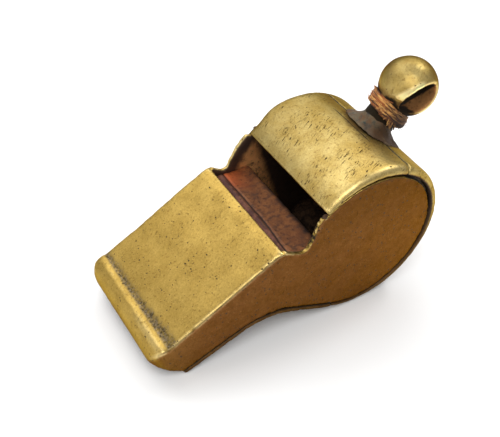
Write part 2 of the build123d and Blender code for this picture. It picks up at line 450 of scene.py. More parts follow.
@dataclass(frozen=True)
class AgedBrass:
    """Worn, pitted brass with grime in its seams, bright rubbed edges, and painted light and shade.

    The fields are first colours, then patterns, then the shares and places below.

    Attributes:
        grain_light: Change of brightness with the grain, and brightness at none.
        scratch_cover, tarnish_cover, pit_cover, painted_shade_cover: How much of the brass each of them
        hides, the last being the black painted shade inside.
        roughness: Roughness of clean brass.
        cloud_rough, grain_rough, dull_rough: What clouds, grain and dirt add to it.
        rub_gloss, cheek_gloss: What rubbing, and the cheeks' flat sheet, take off it.
        inside_dull: How dull the faces inside are, compared with dirt.
        inside_clean: Share of the seams' grime that the faces inside lack.
        dull_loss: Share of its metal shine that a dull spot loses.
        wave_height, grain_height: Heights of waves and grain over a pit's depth.
        pit_depth, bump_strength: Depth of a pit, and strength of all unevenness.
        mottle, silt_grain: Noise levels between which olive, and black crumbs in the silt, appear.
        downward, under_cover: How far down a face looks where brown is painted on as shade, and how much of
            that shows.
        sideways: How far to the side a face of the cheeks looks.
        tip_shade_fade, tip_shade: Stretch of the cheeks, from the drum's middle, over which their brown,
            painted shade
        over patina, thins towards the tip, and its share at the tip.
        cheek_heights, cheek_stray, cheek_painted_light: Heights over which the cheeks' brown darkens upwards
        as painted shade, how ragged that is, the change of their brightness, and brightness below.
        rub_edge, rub_clean: How sharp an edge has to be, and how little grime it has to hold, to be rubbed.
        handled, seam_bare, rim_bare: Share of the rubbing that the folds show, how far round the drum from
            the cross seam they show it, and where the cheeks do, from the drum's middle.
        seam_stray, seam_dirt: How ragged the seams' grime and the painted shade written with it are, and
            where
        they show.
        groove: Foot of the bite lip in the side view, from the drum's middle.
        silt_front, silt_back: Where the silt starts behind that foot, and where it ends.
        silt_near, silt_growth: Where, across, the silt widens, and by how much.
        silt_above, silt_cover: How far up a face looks that holds silt, what crumbs add to its cover, and
            its cover without them.
        film_drop, film_stray, film_reach, film_height, film_cover: Film round the solder foot: place below
            the ball along the lean, raggedness, reach from the loop's axis, heights and cover.
        scratch_turn, scratch_stretch: Direction of the hairlines, seen from above, and their stretch.
        pit_sizes: Cells per millimetre, greatest share of cells with a pit where pits crowd, and range of
            radii, of each size of pit.
        pit_least, pit_small, pit_soft: Share of cells with a pit elsewhere, least radius as a share of the
            range, and soft rim.
        pit_shake, pit_lumps, pit_stretch: How ragged pits are, in lumps of a scale, and their stretch on
            the drum.
        pit_clusters, cluster_scale: Noise levels at which pits crowd, and the least scale of the crowds.
        line_turn, line_size: Angle of the scribed line round the drum, half its breadth in degrees, and
            half its length.
        seam_turn, seam_size: The same of the cross seam.
        line_stray, line_middle, line_end, line_core: Waviness of both, their middle across, the fading
            length at their ends and the share of their breadth that is darkest.
        soot_and_shade_stray, rim_painted_shade: How ragged the painted shade inside is, and its reach from
            the drum's axis.
        lip_slope, lip_painted_shadow: Way in which the lip's painted shadow spreads on the cheeks' inner
            faces, and where.
        ball_painted_light_way, ball_painted_light: Direction in which painted light makes the ball brighter,
        and its brightness.
        ball_back, ball_painted_shade: How far to the back a face looks, and how much darker painted shade
            makes it there.
        ball_foot, foot_stray, foot_cover: Heights over which the ball's foot browns with dirt and painted
            shade,
        from its middle, how ragged that is, and the cover.
        drum_painted_light: Change of the drum's brightness for each millimetre to the far side, painted shade
            that darkens
        its far end, and brightness in the middle.
        belly, belly_cover: Heights over which the drum darkens, from its middle, and the cover.
        stain_turns, stain_cloud, stain_cover: Stain by the cross seam: angles, noise levels and cover.
    """

    gold: Colour = (0.455, 0.305, 0.078)
    olive: Colour = (0.385, 0.252, 0.060)
    drum_gold: Colour = (0.44, 0.335, 0.125)
    drum_olive: Colour = (0.36, 0.25, 0.072)
    # brown and umber: patina, and also painted shade on the cheeks, on faces that look down and at the ball's
    # foot.
    brown: Colour = (0.184, 0.079, 0.028)
    umber: Colour = (0.155, 0.065, 0.023)
    fleck: Colour = (0.40, 0.235, 0.085)
    rubbed: Colour = (0.88, 0.70, 0.32)
    speck: Colour = (0.13, 0.06, 0.016)
    pit: Colour = (0.03, 0.017, 0.009)
    # Black of the seams' grime, also used for painted shade in the bore and inside the far window edge.
    grime: Colour = (0.016, 0.012, 0.008)
    silt: Colour = (0.19, 0.15, 0.10)
    strip: Colour = (0.15, 0.078, 0.027)
    strip_dark: Colour = (0.095, 0.046, 0.017)
    film: Colour = (0.12, 0.075, 0.034)
    ruddy: Colour = (0.30, 0.14, 0.05)
    copper: Colour = (0.42, 0.19, 0.07)
    burnt: Colour = (0.09, 0.045, 0.02)
    # Black of the painted shade inside the drum by its rim and under the lip.
    shade_and_grime_black: Colour = (0.045, 0.031, 0.028)

    grain: Patches = Patches(3.6, 5.0, 0.75)
    cloud: Patches = Patches(0.33, 5.0, 0.6)
    waves: Patches = Patches(1.3)
    specks: Patches = Patches(2.6, 5.0, 0.75, (0.54, 0.66), 0.5)
    shades: Patches = Patches(0.9, 5.0, 0.7, (0.36, 0.64))
    flecks: Patches = Patches(3.0, 4.0, 0.7, (0.56, 0.7), 0.22)
    blots: Patches = Patches(0.5, 6.0, 0.75, (0.58, 0.7), 0.4)
    ball_blots: Patches = Patches(0.45, 4.0, 0.6, (0.48, 0.66), 0.25)
    rubs: Patches = Patches(0.9, fade=(0.2, 0.55))
    dashes: Patches = Patches(1.0, 3.0, 0.6, (0.58, 0.66))
    dash_breaks: Patches = Patches(0.35, fade=(0.42, 0.6))
    coppers: Patches = Patches(0.5, 4.0, fade=(0.4, 0.65))
    burns: Patches = Patches(1.4, 4.0, 0.65, (0.46, 0.75))
    painted_shade_rags: Patches = Patches(0.8, 4.0)
    silt_rags: Patches = Patches(1.3, 5.0, 0.7)
    silt_crumbs: Patches = Patches(2.2, 4.0, 0.7, (0.25, 0.62))
    film_rags: Patches = Patches(0.7, 5.0, 0.65)
    line_waves: Patches = Patches(0.4)
    line_breaks: Patches = Patches(1.1)

    grain_light: Span = (1.0, 0.5)
    scratch_cover: float = 0.8
    tarnish_cover: float = 0.94
    pit_cover: float = 0.88
    painted_shade_cover: float = 0.97
    roughness: float = 0.24
    cloud_rough: float = 0.22
    grain_rough: float = 0.14
    dull_rough: float = 0.3
    rub_gloss: float = 0.1
    cheek_gloss: float = 0.14
    inside_dull: float = 0.55
    inside_clean: float = 0.75
    dull_loss: float = 0.9
    wave_height: float = 0.8
    grain_height: float = 0.4
    pit_depth: float = 0.05
    bump_strength: float = 0.6
    mottle: Fade = (0.3, 0.7)
    silt_grain: Fade = (0.38, 0.6)
    downward: Fade = (0.1, -0.45)
    under_cover: float = 0.8
    sideways: Fade = (0.6, 0.95)
    tip_shade_fade: Fade = (-32.0, -24.0)
    tip_shade: float = 0.85
    cheek_heights: Fade = (-2.0, 11.0)
    cheek_stray: float = 4.0
    cheek_painted_light: Span = (-0.38, 1.16)
    rub_edge: Fade = (0.15, 0.65)
    rub_clean: Fade = (0.25, 0.02)
    handled: float = 0.6
    seam_bare: Fade = (2.5, 5.0)
    rim_bare: Fade = (-6.9, -7.6)
    seam_stray: float = 0.3
    seam_dirt: Fade = (0.35, 0.75)
    groove: Span = (-29.775, -5.53)
    silt_front: Fade = (-0.3, 0.1)
    silt_back: Fade = (1.25, 0.15)
    silt_near: Fade = (4.0, -9.0)
    silt_growth: float = 0.55
    silt_above: Fade = (0.55, 0.8)
    silt_cover: Span = (0.6, 0.35)
    film_drop: float = 6.0
    film_stray: float = 1.5
    film_reach: Fade = (4.9, 3.7)
    film_height: Fade = (12.0, 15.0)
    film_cover: float = 0.85
    scratch_turn: float = 23.0
    scratch_stretch: Triple = (1.1, 0.14, 1.1)
    pit_sizes: Tuple[Triple, ...] = ((2.4, 0.62, 0.238), (1.3, 0.36, 0.17), (0.6, 0.16, 0.102))
    pit_least: float = 0.06
    pit_small: float = 0.35
    pit_soft: float = 0.08
    pit_shake: float = 0.4
    pit_lumps: float = 3.0
    pit_stretch: Triple = (1.9, 0.75, 1.9)
    pit_clusters: Fade = (0.38, 0.68)
    cluster_scale: float = 0.12
    line_turn: float = 77.0
    line_size: Span = (0.8, 4.5)
    seam_turn: float = 66.0
    seam_size: Span = (2.4, 10.0)
    line_stray: float = 0.8
    line_middle: float = 0.5
    line_end: float = 1.5
    line_core: float = 0.35
    soot_and_shade_stray: float = 0.8
    rim_painted_shade: Fade = (8.9, 10.4)
    lip_slope: Triple = (1.0, 0.0, 0.38)
    lip_painted_shadow: Fade = (-4.9, -3.5)
    ball_painted_light_way: Triple = (0.0, -0.45, -0.22)
    ball_painted_light: float = 1.1
    ball_back: Fade = (0.5, 0.95)
    ball_painted_shade: float = 0.72
    ball_foot: Fade = (-1.3, -2.9)
    foot_stray: float = 0.8
    foot_cover: float = 0.65
    drum_painted_light: Span = (-0.028, 0.97)
    belly: Fade = (2.0, -4.0)
    belly_cover: float = 0.85
    stain_turns: Tuple[Fade, Fade] = ((62.0, 68.0), (80.0, 72.0))
    stain_cloud: Fade = (0.35, 0.65)
    stain_cover: float = 0.3

    def material(self, zone: Zone, layout: Layout) -> Material:
        """Makes the finish for one zone.

        Args:
            zone: Where the brass is.
            layout: Shared places.

        Returns:
            The material.
        """
        g = Graph(f"aged_brass_{zone.value}")
        wear = ZONE_WEAR[zone]
        grain = g.noise(self.grain)
        cloud = g.noise(self.cloud)
        inside = g.attribute("inside")
        dirt_and_shade = g.attribute("dirt_and_shade")
        colour = g.scaled(self._skin(g, zone, cloud, layout), g.linear(grain, *self.grain_light))
        colour = g.mix(g.patches(self.specks), colour, self.speck)
        rub = g.product(self._rubbing(g, wear, dirt_and_shade), self._handled(g, zone, layout))
        colour = g.mix(rub, colour, self.rubbed)
        space = g.stretched(self.scratch_stretch, self.scratch_turn)
        scratches = g.product(g.patches(self.dashes, space), g.patches(self.dash_breaks), wear.scratched)
        colour = g.mix(g.product(scratches, self.scratch_cover), colour, self.pit)
        colour = g.mix(g.product(inside, self.tarnish_cover), colour, self._tarnish(g, zone, layout))
        pits = self._pitting(g, zone)
        colour = g.mix(g.product(pits, self.pit_cover), colour, self.pit)
        if zone is Zone.SHELL:
            crumbs = g.mix(g.smooth(grain, *self.silt_grain), self.silt, self.grime)
            colour = g.mix(self._groove_silt(g, layout), colour, crumbs)
        elif zone is Zone.LOOP:
            colour = self._ball_painted_shading(g, colour, cloud, layout)
        elif zone is Zone.DRUM:
            colour = self._drum_stains_and_shade(g, colour, cloud, layout)
            dirt_and_shade = g.most(dirt_and_shade, *self._drum_lines(g, layout))
        # The dirt attribute carries grime and painted shade alike; both turn to the grime colour here.
        seam = g.smooth(g.total(dirt_and_shade, g.swing(grain, self.seam_stray)), *self.seam_dirt)
        if zone is Zone.SHELL:
            seam = g.product(seam, g.linear(inside, -self.inside_clean, 1.0))
        colour = g.mix(seam, colour, self.grime)
        dull = g.most(seam, pits, g.product(inside, self.inside_dull))
        rough = g.total(
            g.linear(cloud, self.cloud_rough, self.roughness + wear.roughness),
            g.product(grain, self.grain_rough),
            g.product(dull, self.dull_rough),
            g.product(rub, -self.rub_gloss),
        )
        if zone is Zone.SHELL:
            rough = g.total(rough, g.product(self._sideways(g), -self.cheek_gloss))
        metal = g.linear(dull, -self.dull_loss, 1.0)
        g.set(Base_Color=colour, Roughness=rough, Metallic=metal, Specular_Tint=wear.edge_tint)
        height = g.total(
            g.product(g.most(pits, scratches), -1.0),
            g.product(g.noise(self.waves), self.wave_height),
            g.product(grain, self.grain_height),
        )
        g.bump(height, self.pit_depth, self.bump_strength)
        return g.material

    def _skin(self, g: Graph, zone: Zone, cloud: Socket, layout: Layout) -> Socket:
        """Plain brass, clouded, with brown painted shade over patina on the cheeks and wherever it faces
        down.

        Args:
            g: Material's graph.
            zone: Where the brass is.
            cloud: Broad unevenness.
            layout: Shared places.

        Returns:
            The colour.
        """
        shades = g.patches(self.shades)
        if zone is Zone.PLATE:
            return g.mix(shades, self.strip, self.strip_dark)
        dark = g.mix(shades, self.brown, self.umber)
        dark = g.mix(g.patches(self.flecks), dark, self.fleck)
        dark = g.mix(g.patches(self.blots), dark, self.speck)
        mottle = g.smooth(cloud, *self.mottle)
        # Faces that look down get brown painted shade.
        under = g.smooth(g.facing("Z"), *self.downward)
        if zone in (Zone.DRUM, Zone.LOOP):
            bright = g.mix(mottle, self.drum_gold, self.drum_olive)
            return g.mix(g.product(under, self.under_cover), bright, dark)
        # The cheeks' brown is painted shade over patina, thinner towards the tip and darker upwards.
        shade_share = g.smooth(g.along("X", layout.drum[0]), *self.tip_shade_fade)
        shade_share = g.linear(shade_share, 1 - self.tip_shade, self.tip_shade)
        high = g.total(g.along("Z", layout.drum[1]), g.swing(cloud, self.cheek_stray))
        dark = g.scaled(dark, g.linear(g.smooth(high, *self.cheek_heights), *self.cheek_painted_light))
        shaded_brown = g.most(g.product(self._sideways(g), shade_share), under)
        return g.mix(shaded_brown, g.mix(mottle, self.gold, self.olive), dark)

    def _sideways(self, g: Graph) -> Socket:
        """1 on the faces that look to either side."""
        return g.smooth(g.math("ABSOLUTE", g.facing("Y")), *self.sideways)

    def _rubbing(self, g: Graph, wear: ZoneWear, dirt_and_shade: Socket) -> Socket:
        """Bright outer edges, where hands reach and no grime sits.

        Args:
            g: Material's graph.
            wear: Zone's wear.
            dirt_and_shade: Grime by the seams, and painted shade.

        Returns:
            Share that is rubbed.
        """
        reached = g.smooth(g.facing("Z"), *wear.reached) if wear.reached else 1.0
        edge = g.smooth(g.attribute("edge"), *self.rub_edge)
        return g.product(edge, g.patches(self.rubs), g.smooth(dirt_and_shade, *self.rub_clean), reached)

    def _handled(self, g: Graph, zone: Zone, layout: Layout) -> Value:
        """Share of its rubbing that a zone keeps.

        Args:
            g: Material's graph.
            zone: Where the brass is.
            layout: Shared places.

        Returns:
            The share: all on the loop, less on the folds, none inside the rims or below.
        """
        if zone is Zone.PLATE:
            return 0.0
        if zone is Zone.LOOP:
            return 1.0
        if zone is Zone.DRUM:
            off = g.math("ABSOLUTE", g.linear(self._turn(g, layout), 1.0, -self.seam_turn))
            return g.product(g.smooth(off, *self.seam_bare), self.handled)
        return g.product(g.smooth(g.along("X", layout.drum[0]), *self.rim_bare), self.handled)

    def _pitting(self, g: Graph, zone: Zone) -> Socket:
        """Ragged pits of three sizes, thicker in some places than in others, drawn out on the drum.

        Args:
            g: Material's graph.
            zone: Where the brass is.

        Returns:
            1 in a pit.
        """
        share = ZONE_WEAR[zone].pitted
        lumps = g.noise(Patches(self.pit_lumps)).node.outputs["Color"]
        shake = g.scaled(g.vector("SUBTRACT", lumps, (0.5, 0.5, 0.5)), self.pit_shake)
        space = g.stretched(self.pit_stretch, self.scratch_turn) if zone is Zone.DRUM else g.place
        ragged = g.vector("ADD", space, shake)
        found = []
        for scale, most, size in self.pit_sizes:
            distance, chance = g.cells(scale, ragged)
            crowds = g.patches(Patches(self.cluster_scale + scale / 12, fade=self.pit_clusters))
            thick = g.linear(crowds, most * share, self.pit_least * share)
            there = g.math("LESS_THAN", g.part(chance, "X"), thick)
            reach = g.linear(g.part(chance, "Y"), size, size * self.pit_small)
            depth = g.smooth(g.math("SUBTRACT", reach, distance), 0.0, self.pit_soft)
            found.append(g.product(there, depth))
        return g.most(*found)

    def _tarnish(self, g: Graph, zone: Zone, layout: Layout) -> Socket:
        """Red-brown skin of the brass that nobody rubs, with black painted shade by the drum's rim and under
        the lip.

        Args:
            g: Material's graph.
            zone: Where the brass is.
            layout: Shared places.

        Returns:
            The colour.
        """
        tarnish = g.mix(g.patches(self.coppers), self.ruddy, self.copper)
        tarnish = g.mix(g.patches(self.burns), tarnish, self.burnt)
        # Painted light and shade: the tarnish is made lighter inside the shell and darker inside the drum.
        tarnish = g.scaled(tarnish, ZONE_WEAR[zone].inside_painted_light)
        if zone is Zone.LOOP:
            return tarnish
        # Painted shade: black deep in the drum by its rim and, on the cheeks' inner faces, under the lip.
        stray = g.swing(g.noise(self.painted_shade_rags), self.soot_and_shade_stray)
        away = g.off(layout.axis)
        reach = g.vector("LENGTH", g.vector("MULTIPLY", away, (1.0, 0.0, 1.0)))
        shaded = g.smooth(g.total(reach, stray), *self.rim_painted_shade)
        if zone is Zone.SHELL:
            under_lip = g.total(g.vector("DOT_PRODUCT", away, self.lip_slope), g.product(stray, 0.5))
            shaded = g.most(shaded, g.smooth(under_lip, *self.lip_painted_shadow))
        return g.mix(g.product(shaded, self.painted_shade_cover), tarnish, self.shade_and_grime_black)

    def _groove_silt(self, g: Graph, layout: Layout) -> Socket:
        """Grey dirt in the groove behind the bite lip, wider towards the near side.

        Args:
            g: Material's graph.
            layout: Shared places.

        Returns:
            Share that it covers.
        """
        tilt = math.radians(layout.plate_tilt)
        foot = layout.axis + Vector((self.groove[0], 0.0, self.groove[1]))
        behind = g.vector("DOT_PRODUCT", g.off(foot), (math.cos(tilt), 0.0, math.sin(tilt)))
        near = g.product(g.smooth(g.along("Y"), *self.silt_near), -self.silt_growth)
        ragged = g.total(behind, g.swing(g.noise(self.silt_rags), 1.0), near)
        back = g.smooth(ragged, *self.silt_back)
        above = g.smooth(g.facing("Z"), *self.silt_above)
        crumbs = g.linear(g.patches(self.silt_crumbs), *self.silt_cover)
        return g.product(g.smooth(behind, *self.silt_front), back, above, crumbs)

    def _ball_painted_shading(self, g: Graph, colour: Socket, cloud: Socket, layout: Layout) -> Socket:
        """Paints light and shade on the ball, and browns its foot with dirt and painted shade.

        Args:
            g: Material's graph.
            colour: Colour before.
            cloud: Broad unevenness.
            layout: Shared places.

        Returns:
            The colour.
        """
        # Painted light on the ball's near and lower faces, painted shade on its top and back.
        light = g.linear(g.vector("DOT_PRODUCT", g.normal, self.ball_painted_light_way), 1.0, self.ball_painted_light)
        behind = g.linear(g.smooth(g.facing("X"), *self.ball_back), -self.ball_painted_shade, 1.0)
        colour = g.scaled(colour, g.product(light, behind))
        # The ball's foot browns with dirt and painted shade.
        level = g.vector("DOT_PRODUCT", g.off(layout.ball), tuple(layout.loop_direction))
        foot = g.smooth(g.total(level, g.swing(cloud, self.foot_stray)), *self.ball_foot)
        colour = g.mix(g.product(foot, self.foot_cover), colour, self.brown)
        return g.mix(g.patches(self.ball_blots), colour, self.brown)

    def _drum_stains_and_shade(self, g: Graph, colour: Socket, cloud: Socket, layout: Layout) -> Socket:
        """Paints shade on the drum's far end, browns its belly, and stains it by the foot and the cross seam.

        Args:
            g: Material's graph.
            colour: Colour before.
            cloud: Broad unevenness.
            layout: Shared places.

        Returns:
            The colour.
        """
        # Painted shade: the drum gets darker towards its far side.
        colour = g.scaled(colour, g.linear(g.along("Y"), *self.drum_painted_light))
        below = g.smooth(g.along("Z", layout.drum[1]), *self.belly)
        colour = g.mix(g.product(below, self.belly_cover), colour, self.strip_dark)
        away = g.off(layout.axis + layout.lean * self.film_drop)
        reach = g.vector("LENGTH", g.vector("CROSS_PRODUCT", away, tuple(layout.loop_direction)))
        reach = g.total(reach, g.swing(g.noise(self.film_rags), self.film_stray))
        high = g.smooth(g.along("Z"), *self.film_height)
        film = g.product(g.smooth(reach, *self.film_reach), high, self.film_cover)
        colour = g.mix(film, colour, self.film)
        turn = self._turn(g, layout)
        sides = [g.smooth(turn, *fade) for fade in self.stain_turns]
        stain = g.product(*sides, g.smooth(cloud, *self.stain_cloud), self.stain_cover)
        return g.mix(stain, colour, self.umber)

    def _turn(self, g: Graph, layout: Layout) -> Socket:
        """Angle round the drum's axis."""
        away = g.off(layout.axis)
        return g.product(g.math("ARCTAN2", g.part(away, "Z"), g.part(away, "X")), 180 / math.pi)

    def _drum_lines(self, g: Graph, layout: Layout) -> List[Socket]:
        """Dark lines across the drum.

        Args:
            g: Material's graph.
            layout: Shared places.

        Returns:
            Darkness of the scribed line and of the cross seam.
        """
        turn = g.total(self._turn(g, layout), g.swing(g.noise(self.line_waves), self.line_stray))
        broken = g.linear(g.noise(self.line_breaks), 0.5, 0.5)
        across = g.math("ABSOLUTE", g.along("Y", self.line_middle))
        found = []
        for place, (breadth, half) in ((self.line_turn, self.line_size), (self.seam_turn, self.seam_size)):
            off = g.math("ABSOLUTE", g.linear(turn, 1.0, -place))
            ends = g.smooth(across, half + self.line_end, half - self.line_end)
            found.append(g.product(g.smooth(off, breadth, breadth * self.line_core), ends, broken))
        return found


@dataclass(frozen=True)
class TarnishedStrip:
    """Purple ledge, brown ramp, a painted orange-red glow in the far corner and painted shadow inwards.

    The fields are first colours, then patterns, then the places below.

    Attributes:
        streak_stretch: Stretch of the streaks.
        glow_across, glow_stray: Where, across, the far corner's painted glow starts, and how ragged it is.
        glow_inward: How far past the ledge's edge the glow ends, and where it is full.
        ledge_stray, ledge_edge: How ragged the ledge's edge is, and how soft.
        slit, slit_cover: Both sides of the slit past that edge, and the darkness of the shade painted in it.
        shine: Both sides of the bright strip before that edge, where glints are painted.
        shadow_skew, soot_and_shade_stray, painted_shadow_fade: How much further in the painted shadow starts
        for each millimetre to the far side, how ragged it is, and where it is, from the drum's middle.
        grime: Dirt by the seams that shows.
    """

    brown: Colour = (0.245, 0.094, 0.033)
    rust: Colour = (0.16, 0.058, 0.022)
    streak: Colour = (0.075, 0.036, 0.022)
    plum: Colour = (0.075, 0.026, 0.018)
    rose: Colour = (0.165, 0.062, 0.037)
    # Colours: ember paints a glow, brass paints glints, soot is the black of painted shadow, spots and grime.
    painted_glow: Colour = (0.46, 0.095, 0.022)
    shade_and_grime_black: Colour = (0.014, 0.009, 0.008)
    brass: Colour = (0.55, 0.33, 0.12)

    cloud: Patches = Patches(0.6, 6.0, 0.65, (0.36, 0.64))
    streaks: Patches = Patches(1.0, 4.0, 0.6, (0.44, 0.66), 0.8)
    ledge_blots: Patches = Patches(0.8, 5.0, 0.7, (0.4, 0.62))
    spots: Patches = Patches(1.9, 5.0, 0.7, (0.54, 0.7), 0.7)
    painted_glints: Patches = Patches(0.9, 5.0, 0.7, (0.45, 0.7), 0.3)
    lumps: Patches = Patches(3.5, 4.0, 0.7)

    streak_stretch: Triple = (1.1, 0.75, 1.1)
    glow_across: Fade = (3.2, 9.4)
    glow_stray: float = 1.5
    glow_inward: Fade = (4.2, 0.2)
    ledge_stray: float = 0.15
    ledge_edge: Fade = (0.06, -0.06)
    slit: Tuple[Fade, Fade] = ((-0.04, 0.04), (0.34, 0.16))
    slit_cover: float = 0.9
    shine: Tuple[Fade, Fade] = ((-0.5, -0.15), (0.0, -0.1))
    shadow_skew: float = 0.03
    soot_and_shade_stray: float = 0.6
    painted_shadow_fade: Fade = (-8.6, -7.4)
    grime: Fade = (0.5, 0.95)

    def material(self, layout: Layout) -> Material:
        """Makes the finish.

        Args:
            layout: Shared places.

        Returns:
            The material.
        """
        g = Graph("tarnished_strip")
        cloud = g.noise(self.cloud)
        inward = g.along("X", layout.drum[0])
        across = g.along("Y")
        colour = g.mix(g.smooth(cloud, *self.cloud.fade), self.brown, self.rust)
        colour = g.mix(g.patches(self.streaks, g.stretched(self.streak_stretch)), colour, self.streak)
        # Painted orange-red glow in the far corner.
        far = g.smooth(g.total(across, g.swing(cloud, self.glow_stray)), *self.glow_across)
        glow = g.product(far, g.smooth(inward, *(layout.crest + reach for reach in self.glow_inward)))
        colour = g.mix(glow, colour, self.painted_glow)
        bend = g.product(g.smooth(across, *layout.crest_bend), -layout.crest_skew)
        past = g.total(inward, bend, g.swing(cloud, self.ledge_stray), -layout.crest)
        ledge = g.mix(g.patches(self.ledge_blots), self.plum, self.rose)
        colour = g.mix(g.smooth(past, *self.ledge_edge), colour, ledge)
        # Painted shade in the slit, and painted shadow deeper in the chamber.
        slit = g.product(*(g.smooth(past, *side) for side in self.slit), self.slit_cover)
        skewed = g.total(inward, g.product(across, -self.shadow_skew), g.swing(cloud, self.soot_and_shade_stray))
        deep = g.smooth(skewed, *self.painted_shadow_fade)
        grime = g.smooth(g.attribute("dirt_and_shade"), *self.grime)
        colour = g.mix(g.most(deep, g.patches(self.spots), grime, slit), colour, self.shade_and_grime_black)
        # Painted glints along the ledge's edge.
        shine = g.product(*(g.smooth(past, *side) for side in self.shine))
        colour = g.mix(g.product(shine, g.patches(self.painted_glints)), colour, self.brass)
        g.set(Base_Color=colour, Metallic=0.3, Roughness=g.linear(cloud, 0.3, 0.42), Specular_IOR_Level=0.3)
        g.bump(g.total(cloud, g.product(g.noise(self.lumps), 0.7)), depth=0.08, strength=0.7)
        return g.material


@dataclass(frozen=True)
class DullSolder:
    """Grey-brown, lumpy old solder, greenish black in its hollows, browner on the near side as painted shade.

    The fields are first colours, then patterns, then the places below.

    Attributes:
        solder_shade_side, solder_shade_cover: Where, across, the solder is browner as painted shade, and by
            how much.
        grime: Dirt by the seams that shows.
        edge, edge_cover: Sharpness of an edge that is rubbed, and how much of that shows.
    """

    grey: Colour = (0.118, 0.09, 0.052)
    brown: Colour = (0.115, 0.06, 0.026)
    dark: Colour = (0.045, 0.038, 0.030)
    verdigris: Colour = (0.028, 0.040, 0.032)
    umber: Colour = (0.06, 0.029, 0.012)
    black: Colour = (0.015, 0.012, 0.009)
    rubbed: Colour = (0.26, 0.20, 0.12)

    browns: Patches = Patches(0.9, 5.0, 0.7, (0.42, 0.6))
    hollows: Patches = Patches(0.7, 5.0, 0.65, (0.46, 0.68), 0.85)
    greens: Patches = Patches(1.2, 4.0, fade=(0.56, 0.7))
    lumps: Patches = Patches(4.0, 4.0, 0.7)

    solder_shade_side: Fade = (0.5, -3.2)
    solder_shade_cover: float = 0.9
    grime: Fade = (0.6, 0.95)
    edge: Fade = (0.3, 0.9)
    edge_cover: float = 0.25

    def material(self) -> Material:
        """Makes the finish.

        Returns:
            The material.
        """
        g = Graph("dull_solder")
        colour = g.mix(g.patches(self.browns), self.grey, self.brown)
        colour = g.mix(g.patches(self.hollows), colour, self.dark)
        colour = g.mix(g.patches(self.greens), colour, self.verdigris)
        # Painted shade: browner on the near side.
        near = g.product(g.smooth(g.along("Y"), *self.solder_shade_side), self.solder_shade_cover)
        colour = g.mix(near, colour, self.umber)
        colour = g.mix(g.smooth(g.attribute("dirt_and_shade"), *self.grime), colour, self.black)
        edge = g.product(g.smooth(g.attribute("edge"), *self.edge), self.edge_cover)
        colour = g.mix(edge, colour, self.rubbed)
        g.set(Base_Color=colour, Metallic=0.3, Roughness=0.62, Specular_IOR_Level=0.3)
        g.bump(g.total(g.noise(self.hollows), g.product(g.noise(self.lumps), 0.5)), depth=0.09, strength=0.8)
        return g.material


@dataclass(frozen=True)
class TwineFibre:
    """Orange-tan, dirty plant fibre, straw or dirty by each fibre's own tone, with painted shade on the near
    side.

    The fields are first colours, then patterns, then the places below.

    Attributes:
        soiled_tone, straw_tone: Tones of the dirty and of the straw-coloured fibres.
        stray: How ragged the painted shade on the near side is.
        near_shade_side, near_black_shade_side: Where, across, painted shade darkens the twine, and where it
            turns it black.
        near_shade_cover, near_black_shade_cover: How much of it.
    """

    tan: Colour = (0.33, 0.098, 0.021)
    straw: Colour = (0.66, 0.35, 0.095)
    soiled_and_shaded: Colour = (0.07, 0.024, 0.009)
    black: Colour = (0.014, 0.008, 0.005)

    blots: Patches = Patches(1.2, 4.0, 0.7, (0.5, 0.7), 0.7)
    fuzz: Patches = Patches(14.0, 2.0)

    soiled_tone: Fade = (0.3, 0.0)
    straw_tone: Fade = (0.55, 1.0)
    stray: float = 0.45
    near_shade_side: Fade = (-0.9, -2.6)
    near_black_shade_side: Fade = (-1.9, -3.1)
    near_shade_cover: float = 0.85
    near_black_shade_cover: float = 0.9

    def material(self) -> Material:
        """Makes the finish.

        Returns:
            The material.
        """
        g = Graph("twine_fibre")
        tone = g.attribute("tone")
        colour = g.mix(g.smooth(tone, *self.soiled_tone), self.tan, self.soiled_and_shaded)
        colour = g.mix(g.smooth(tone, *self.straw_tone), colour, self.straw)
        colour = g.mix(g.patches(self.blots), colour, self.soiled_and_shaded)
        # Painted shade on the near side: dark, then black.
        across = g.total(g.along("Y"), g.swing(tone, self.stray))
        colour = g.mix(g.product(g.smooth(across, *self.near_shade_side), self.near_shade_cover), colour, self.soiled_and_shaded)
        colour = g.mix(g.product(g.smooth(across, *self.near_black_shade_side), self.near_black_shade_cover), colour, self.black)
        g.set(Base_Color=colour, Roughness=0.85, Sheen_Weight=0.06, Sheen_Roughness=0.5)
        g.bump(g.noise(self.fuzz), depth=0.02, strength=0.5)
        return g.material


@dataclass(frozen=True)
class DarkCork:
    """Old cork, brown with black crumbs.

    The fields are first colours, then patterns, then the sizes below.

    Attributes:
        grains: Cork grains per millimetre.
        cracks, crack_cover: Distance from a grain's middle at which cracks start, and their darkness.
    """

    brown: Colour = (0.030, 0.016, 0.009)
    pale: Colour = (0.048, 0.026, 0.014)
    crumb: Colour = (0.008, 0.005, 0.004)

    pores: Patches = Patches(2.4, 4.0, 0.7, (0.58, 0.66))

    grains: float = 1.3
    cracks: Fade = (0.45, 0.75)
    crack_cover: float = 0.7

    def material(self) -> Material:
        """Makes the finish.

        Returns:
            The material.
        """
        g = Graph("dark_cork")
        distance, chance = g.cells(self.grains, g.place)
        colour = g.mix(g.part(chance, "X"), self.brown, self.pale)
        cracks = g.product(g.smooth(distance, *self.cracks), self.crack_cover)
        pores = g.patches(self.pores)
        colour = g.mix(g.most(cracks, pores), colour, self.crumb)
        g.set(Base_Color=colour, Roughness=0.95, Specular_IOR_Level=0.1)
        g.bump(g.math("SUBTRACT", g.product(distance, -0.5), pores), depth=0.12, strength=0.7)
        return g.material


def ramp(values: Numbers, start: float, full: float) -> Numbers:
    """Straight rise from 0 at start to 1 at full, which may be the lesser of the two."""
    return np.clip((values - start) / (full - start), 0, 1)


